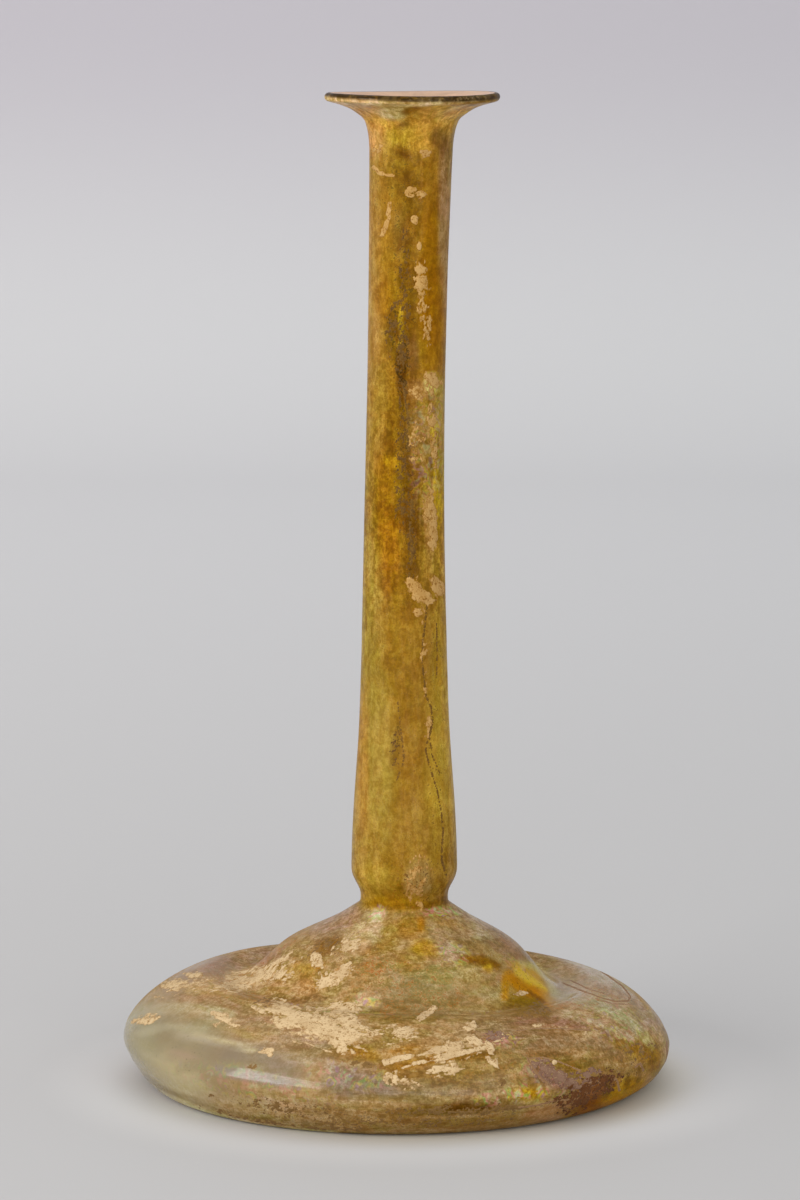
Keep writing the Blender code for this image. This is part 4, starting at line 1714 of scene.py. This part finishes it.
@dataclass
class Vessel:
    """The one piece of blown glass, with its outside, its rounded lip and its inside."""

    shape: BlownShape
    weathering: Weathering
    segments: int = 288
    body_step: float = 0.95 * MM
    neck_step: float = 1.25 * MM
    fine_step: float = 0.55 * MM
    base_step: float = 4.0 * MM
    inner_step: float = 2.6 * MM
    first_ring: float = 2.4 * MM
    base_top: float = 0.004
    base_reach: float = 0.045
    body_top: float = 0.036
    bulb_top: float = 0.050
    mouth_bottom: float = 0.190
    lip_points: int = 7
    # Where the painted shade of the edge-on lip lies.
    band_start: float = 0.46
    band_swing: float = 0.12
    band_turn: float = math.radians(-50)
    band_fade: float = 0.12

    def _outer_lengths(self, outline: Outline) -> np.ndarray:
        """Where the rings of the outside lie, closer where it turns.

        Args:
            outline: The outside's outline.

        Returns:
            Lengths along the outline.
        """
        total = outline.lengths[-1]
        lengths = [self.first_ring]
        while lengths[-1] < total:
            radius, height = outline.at(np.array([lengths[-1]]))[0]
            if height < self.base_top and radius < self.base_reach:
                step = self.base_step
            elif height < self.body_top:
                step = self.body_step
            elif height < self.bulb_top or height > self.mouth_bottom:
                step = self.fine_step
            else:
                step = self.neck_step
            lengths.append(lengths[-1] + step)
        lengths[-1] = total
        return np.array(lengths)

    def make(self) -> bpy.types.Object:
        """Builds the vessel.

        Returns:
            The finished piece.
        """
        outer, inner = self.shape.outer(), self.shape.inner()
        outer_lengths = self._outer_lengths(outer)
        inner_total = inner.lengths[-1]
        inner_lengths = np.arange(0.0, inner_total - self.inner_step / 2, self.inner_step)
        rings = np.concatenate((
            outer.at(outer_lengths), self.shape.lip(self.lip_points), inner.at(inner_lengths)))
        count = len(rings)
        angles = np.linspace(0, math.tau, self.segments, endpoint=False)
        line = np.repeat(rings, self.segments, axis=0)
        turns = np.tile(angles, count)
        points = self.shape.place(line, turns)
        skin = Skin(self.shape, outer)
        outer_count = len(outer_lengths)
        outside = slice(0, outer_count * self.segments)
        points[outside], outward = skin.sample(
            np.repeat(outer_lengths, self.segments), turns[outside])
        base_centre = self.shape.place(outer.points[:1], np.zeros(1))
        floor_centre = self.shape.place(inner.points[-1:], np.zeros(1))
        everything = np.concatenate((points, base_centre, floor_centre))

        ring = np.arange(count - 1)[:, None] * self.segments
        here = np.arange(self.segments)[None, :]
        beside = (here + 1) % self.segments
        faces = np.stack((
            ring + here, ring + beside, ring + self.segments + beside, ring + self.segments + here,
        ), axis=-1).reshape(-1, 4)
        materials = [WeatheredOutside().build(), WeatheredInside().build()]
        closed = faces.tolist() + self._fans(len(points), (count - 1) * self.segments)
        piece = new_piece("glass_vessel", everything, closed, materials)
        inside_from = (outer_count + self.lip_points) * self.segments
        for face in piece.data.polygons:
            if face.vertices[0] >= inside_from:
                face.material_index = 1
        self._dress(piece, everything, outward, outer_count)
        drawn = np.zeros_like(everything)
        drawn[outside] = skin.drawn(np.repeat(outer_lengths, self.segments), turns[outside])
        drawn[len(outward):] = everything[len(outward):]
        carry(piece, "drawn", drawn, "FLOAT_VECTOR", "vector")
        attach(piece, BODY_NAME)
        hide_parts(NODE_NAME)
        return piece

    def _fans(self, centre: int, last_ring: int) -> list[list[int]]:
        """Faces that close the base and the floor around their centres.

        Args:
            centre: Number of the base's centre; the floor's comes next.
            last_ring: Number of the first vertex of the ring round the floor.

        Returns:
            The vertex numbers of each face.
        """
        faces = []
        for here in range(self.segments):
            beside = (here + 1) % self.segments
            faces.append([centre, beside, here])
            faces.append([centre + 1, last_ring + here, last_ring + beside])
        return faces

    def _painted_lip_shade(self, count: int, outer_count: int) -> np.ndarray:
        """The painted shade of the lip seen edge-on: a dark band, broad at the front right and thin at
        the left.

        Args:
            count: How many vertices the vessel has.
            outer_count: How many rings the outside has.

        Returns:
            A share from 0 to 1 for each vertex.
        """
        rings = self.lip_points + 3
        angles = np.linspace(0, math.tau, self.segments, endpoint=False)
        lower_edge = self.band_start - self.band_swing * np.cos(angles - self.band_turn)
        share = np.linspace(0.0, 1.0, rings)[:, None]
        band = smooth(-self.band_fade, self.band_fade, share - lower_edge[None, :])
        lip = np.zeros(count)
        first = (outer_count - 2) * self.segments
        lip[first:first + rings * self.segments] = band.ravel()
        return lip

    def _dress(self, piece: bpy.types.Object, points: np.ndarray, outward: np.ndarray,
               outer_count: int) -> None:
        """Stores the weathering at every vertex.

        Args:
            piece: The vessel's mesh piece.
            points: Its vertices.
            outward: Outward directions of the vertices of the outside.
            outer_count: How many rings the outside has.
        """
        normals = np.zeros_like(points)
        normals[:len(outward)] = outward
        normals[len(outward):, 2] = 1.0
        colour = self.weathering.ground(points, normals)
        opaque = np.concatenate((colour, np.ones((len(colour), 1))), axis=1)
        carry(piece, "ground", opaque, "FLOAT_COLOR", "color")
        for name, values in self.weathering.masks(points, normals).items():
            carry(piece, name, values)
        height = points[:, 2]
        # Painted shade of the lip seen edge-on.
        carry(piece, "lip", self._painted_lip_shade(len(points), outer_count))
        carry(piece, "neck", smooth(*NECK_START, height))
        top = self.shape.total_height
        carry(piece, "mouth", smooth(top - 12 * MM, top - 6 * MM, height))


@dataclass
class CrustSheet:
    """A thin crust that stands a little proud of the glass, with a ragged edge."""

    name: str
    skin: Skin
    weathering: Weathering
    patches: tuple[Patch | Stroke, ...]
    finish: CrustFinish
    low_height: float
    high_height: float
    half_turn: float
    spacing: float = 0.19 * MM
    thickness: float = 0.14 * MM
    flake: float = 1.2 * MM
    ragged: float = 2.2
    drawn_out: float = 3.6
    edge_cover: float = 0.55
    least_cover: float = 0.04
    skirt: float = 0.03
    steepness: float = 3.0
    sunk: float = 0.4
    lumps: float = 0.15
    lump_size: float = 0.8 * MM

    def make(self) -> bpy.types.Object:
        """Builds the crust.

        Returns:
            The finished piece.
        """
        outline = self.skin.outline
        low = outline.length_at_height(self.low_height, self.low_height < 0.010)
        high = outline.length_at_height(self.high_height)
        lengths = np.arange(low, high, self.spacing)
        widest = outline.at(lengths)[:, 0].max()
        turns = np.arange(-self.half_turn, self.half_turn, self.spacing / widest) - math.pi / 2
        grid_lengths = np.repeat(lengths, len(turns))
        grid_turns = np.tile(turns, len(lengths))
        points, normals = self.skin.sample(grid_lengths, grid_turns)
        edge = self._edge(points, normals)
        lift = np.clip(edge * self.steepness, -self.sunk, 1.0) * self.thickness
        lumps = self.lumps * self.thickness * Grain(Lot.LUMPS).at(points, self.lump_size)
        lift = lift + np.where(edge > 0.1, lumps, 0.0)
        points = points + normals * lift[:, None]

        wide = len(turns)
        row = np.arange(len(lengths) - 1)[:, None] * wide
        column = np.arange(wide - 1)[None, :]
        corner = (row + column).ravel()
        faces = np.stack((corner, corner + 1, corner + wide + 1, corner + wide), axis=1)
        kept = faces[(edge[faces] > -self.skirt).any(axis=1)]
        used, numbers = np.unique(kept, return_inverse=True)
        corners = numbers.reshape(-1, 4).tolist()
        piece = new_piece(self.name, points[used], corners, [self.finish.build()])
        carry(piece, "thick", np.clip(edge[used] * 2, 0.0, 1.0))
        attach(piece, BODY_NAME)
        return piece

    def _edge(self, points: np.ndarray, normals: np.ndarray) -> np.ndarray:
        """How far inside the crust each point lies; the flakes run along each patch.

        Args:
            points: Places on the skin, in metres.
            normals: Outward directions there.

        Returns:
            Above 0 inside the crust and below 0 outside.
        """
        places = self.weathering.view.flatten(points)
        wobble = self.weathering.wobble(points)
        crumbs = Grain(Lot.CRUMBS).layered(points, 0.9 * MM, 3, 0.75)
        facing = self.weathering.view.facing(points, normals)
        edge = np.full(len(points), -1.0)
        for patch in self.patches:
            cover = patch.cover(places, wobble) * facing
            near = np.flatnonzero(cover > self.least_cover)
            right, high = places[near, 0] * MM, places[near, 1] * MM
            along = right * math.cos(patch.way()) + high * math.sin(patch.way())
            beside = high * math.cos(patch.way()) - right * math.sin(patch.way())
            flat = np.stack((along / self.drawn_out, beside, np.zeros(len(near))), axis=1)
            flakes = Grain(Lot.FLAKES).layered(flat, self.flake, 4, 0.7)
            here = cover[near] - self.edge_cover + self.ragged * (flakes * 0.6 + crumbs[near] * 0.4)
            edge[near] = np.maximum(edge[near], here)
        return edge


@dataclass(frozen=True)
class SoftLight:
    """A soft light that faces the vessel; its place is in degrees from the camera's side."""

    name: str
    azimuth: float
    elevation: float
    reach: float
    size: tuple[float, float]
    power: float
    colour: Colour
    aim_height: float = 0.08

    def hang(self) -> bpy.types.Object:
        """Hangs the light.

        Returns:
            The light.
        """
        data = bpy.data.lights.new(self.name, "AREA")
        data.shape = "RECTANGLE"
        data.size, data.size_y = self.size
        data.energy = self.power
        data.color = self.colour
        light = bpy.data.objects.new(self.name, data)
        turn, rise = math.radians(self.azimuth), math.radians(self.elevation)
        place = Vector((math.sin(turn) * math.cos(rise), -math.cos(turn) * math.cos(rise),
                        math.sin(rise))) * self.reach
        light.location = Vector((0.0, 0.0, self.aim_height)) + place
        light.rotation_euler = (-place).to_track_quat("-Z", "Y").to_euler()
        bpy.context.scene.collection.objects.link(light)
        return light


@dataclass
class Studio:
    """The pale sweep, the soft lights and the camera."""

    LIGHTS: ClassVar[tuple[SoftLight, ...]] = (
        SoftLight("key_softbox", -52, 21, 1.5, (1.2, 0.7), 15, (1.0, 0.985, 0.96)),
        SoftLight("front_softbox", 12, 9, 2.2, (1.8, 0.8), 14, (1.0, 0.99, 0.97)),
        SoftLight("fill_softbox", 30, 36, 2.2, (1.6, 1.2), 8, (1.0, 0.99, 0.98)),
        SoftLight("top_softbox", 190, 62, 1.8, (1.6, 1.2), 5, (1.0, 1.0, 1.0)),
    )
    view: FrontView
    sweep_half_width: float = 2.6
    sweep_near: float = -1.6
    sweep_bend: float = 1.1
    sweep_height: float = 2.4
    bend_radius: float = 0.7
    room_light: float = 0.75

    def make_floor(self) -> bpy.types.Object:
        """Builds the sweep of pale board that is floor and backdrop in one.

        Returns:
            The floor, which is no piece of the object.
        """
        line = [(self.sweep_near, 0.0), (self.sweep_bend, 0.0)]
        for share in np.linspace(0.04, 1, 24):
            angle = share * math.pi / 2
            line.append((self.sweep_bend + self.bend_radius * math.sin(angle),
                         self.bend_radius * (1 - math.cos(angle))))
        line.append((self.sweep_bend + self.bend_radius, self.sweep_height))
        points = [(x * self.sweep_half_width, y, z) for y, z in line for x in (-1, 1)]
        faces = [[2 * k, 2 * k + 1, 2 * k + 3, 2 * k + 2] for k in range(len(line) - 1)]
        ground = PaleGround("pale_board")
        floor = new_piece("pale_sweep", np.array(points), faces, [ground.build()])
        return floor

    def make_camera(self) -> bpy.types.Object:
        """Sets the camera where the photographer stood.

        Returns:
            The scene's camera.
        """
        data = bpy.data.cameras.new("camera")
        data.lens = self.view.lens_mm
        data.sensor_width = 36.0
        data.clip_start = 0.05
        camera = bpy.data.objects.new("camera", data)
        camera.location = self.view.place()
        camera.rotation_euler = (math.pi / 2 - self.view.pitch, 0.0, 0.0)
        bpy.context.scene.collection.objects.link(camera)
        bpy.context.scene.camera = camera
        return camera

    def make_lights(self) -> None:
        """Hangs the soft lights and sets the room's own light."""
        for light in self.LIGHTS:
            light.hang()
        world = bpy.data.worlds.new("studio_room")
        world.use_nodes = True
        background = world.node_tree.nodes["Background"]
        background.inputs["Color"].default_value = (1.0, 1.0, 1.0, 1.0)
        background.inputs["Strength"].default_value = self.room_light
        bpy.context.scene.world = world
        bpy.context.scene.view_settings.view_transform = "Standard"


def main() -> None:
    """Builds the flask, its crusts and the studio, and reports each piece."""
    logging.basicConfig(level=logging.INFO, format="%(name)s: %(message)s")
    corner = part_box(NODE_NAME)[1]
    view = FrontView()
    shape = BlownShape(total_height=TOTAL_HEIGHT, body_radius=corner[0])
    weathering = Weathering(view)
    vessel = Vessel(shape, weathering).make()
    LOG.info("%s: %d faces", vessel.name, len(vessel.data.polygons))
    skin = Skin(shape, shape.outer())
    lime = CrustFinish("cream_crust", seen(194, 168, 128), seen(162, 132, 90), seen(124, 90, 42))
    tan = CrustFinish("tan_crust", seen(180, 142, 84), seen(154, 112, 48), seen(118, 76, 18))
    dark = CrustFinish("dark_crust", seen(97, 57, 22), seen(74, 41, 12), seen(150, 110, 74), 0.5)
    violet = CrustFinish("violet_film", seen(128, 98, 78), seen(104, 72, 54), seen(168, 142, 104), 0.4)
    soot = CrustFinish("dark_lines", seen(84, 56, 12), seen(108, 76, 22), seen(58, 36, 8), 0.5)
    grime = CrustFinish("brown_specks", seen(108, 80, 40), seen(126, 96, 54), seen(80, 54, 22), 0.6)
    loop = CrustFinish("brown_lines", seen(128, 94, 60), seen(146, 114, 78), seen(104, 72, 42), 0.5)
    crack = CrustFinish("dark_cracks", seen(98, 68, 16), seen(122, 88, 26), seen(74, 48, 10), 0.5)
    sheets = (
        CrustSheet("cream_crust_on_body", skin, weathering, LIME_PATCHES, lime,
                   low_height=0.010, high_height=0.036, half_turn=math.radians(100)),
        CrustSheet("tan_crust_on_neck", skin, weathering, NECK_LIME_PATCHES, tan,
                   low_height=0.036, high_height=0.1935, half_turn=math.radians(80),
                   thickness=0.10 * MM, flake=0.7 * MM, ragged=1.6, drawn_out=1.8),
        CrustSheet("dark_crust_on_side", skin, weathering, DARK_CRUST_PATCHES, dark,
                   low_height=0.002, high_height=0.020, half_turn=math.radians(75),
                   thickness=0.08 * MM, flake=0.8 * MM, ragged=2.4, drawn_out=1.6),
        CrustSheet("violet_film_on_side", skin, weathering, VIOLET_PATCHES, violet,
                   low_height=0.002, high_height=0.0205, half_turn=math.radians(75),
                   thickness=0.04 * MM, flake=0.7 * MM, ragged=2.4, drawn_out=1.6),
        CrustSheet("dark_specks_on_body", skin, weathering, SPECK_PATCHES, grime,
                   low_height=0.0015, high_height=0.036, half_turn=math.radians(90),
                   thickness=0.05 * MM, flake=0.45 * MM, ragged=2.4, drawn_out=1.6),
        CrustSheet("dark_stains_on_neck", skin, weathering, DARK_STAINS, soot,
                   low_height=0.066, high_height=0.176, half_turn=math.radians(80),
                   spacing=0.18 * MM, thickness=0.05 * MM, flake=0.34 * MM, ragged=2.4, drawn_out=1.5),
        CrustSheet("cracks_on_neck", skin, weathering, CRACK_LINES, crack,
                   low_height=0.042, high_height=0.146, half_turn=math.radians(80),
                   spacing=0.17 * MM, thickness=0.03 * MM, flake=0.9 * MM, ragged=2.4, drawn_out=0.35),
        CrustSheet("dark_lines_on_body", skin, weathering, LOOP_LINES, loop,
                   low_height=0.004, high_height=0.036, half_turn=math.radians(125),
                   spacing=0.22 * MM, thickness=0.05 * MM, flake=0.7 * MM, ragged=0.5),
    )
    for sheet in sheets:
        piece = sheet.make()
        LOG.info("%s: %d faces", piece.name, len(piece.data.polygons))
    studio = Studio(view)
    studio.make_floor()
    studio.make_lights()
    studio.make_camera()


if __name__ == "__main__":
    main()
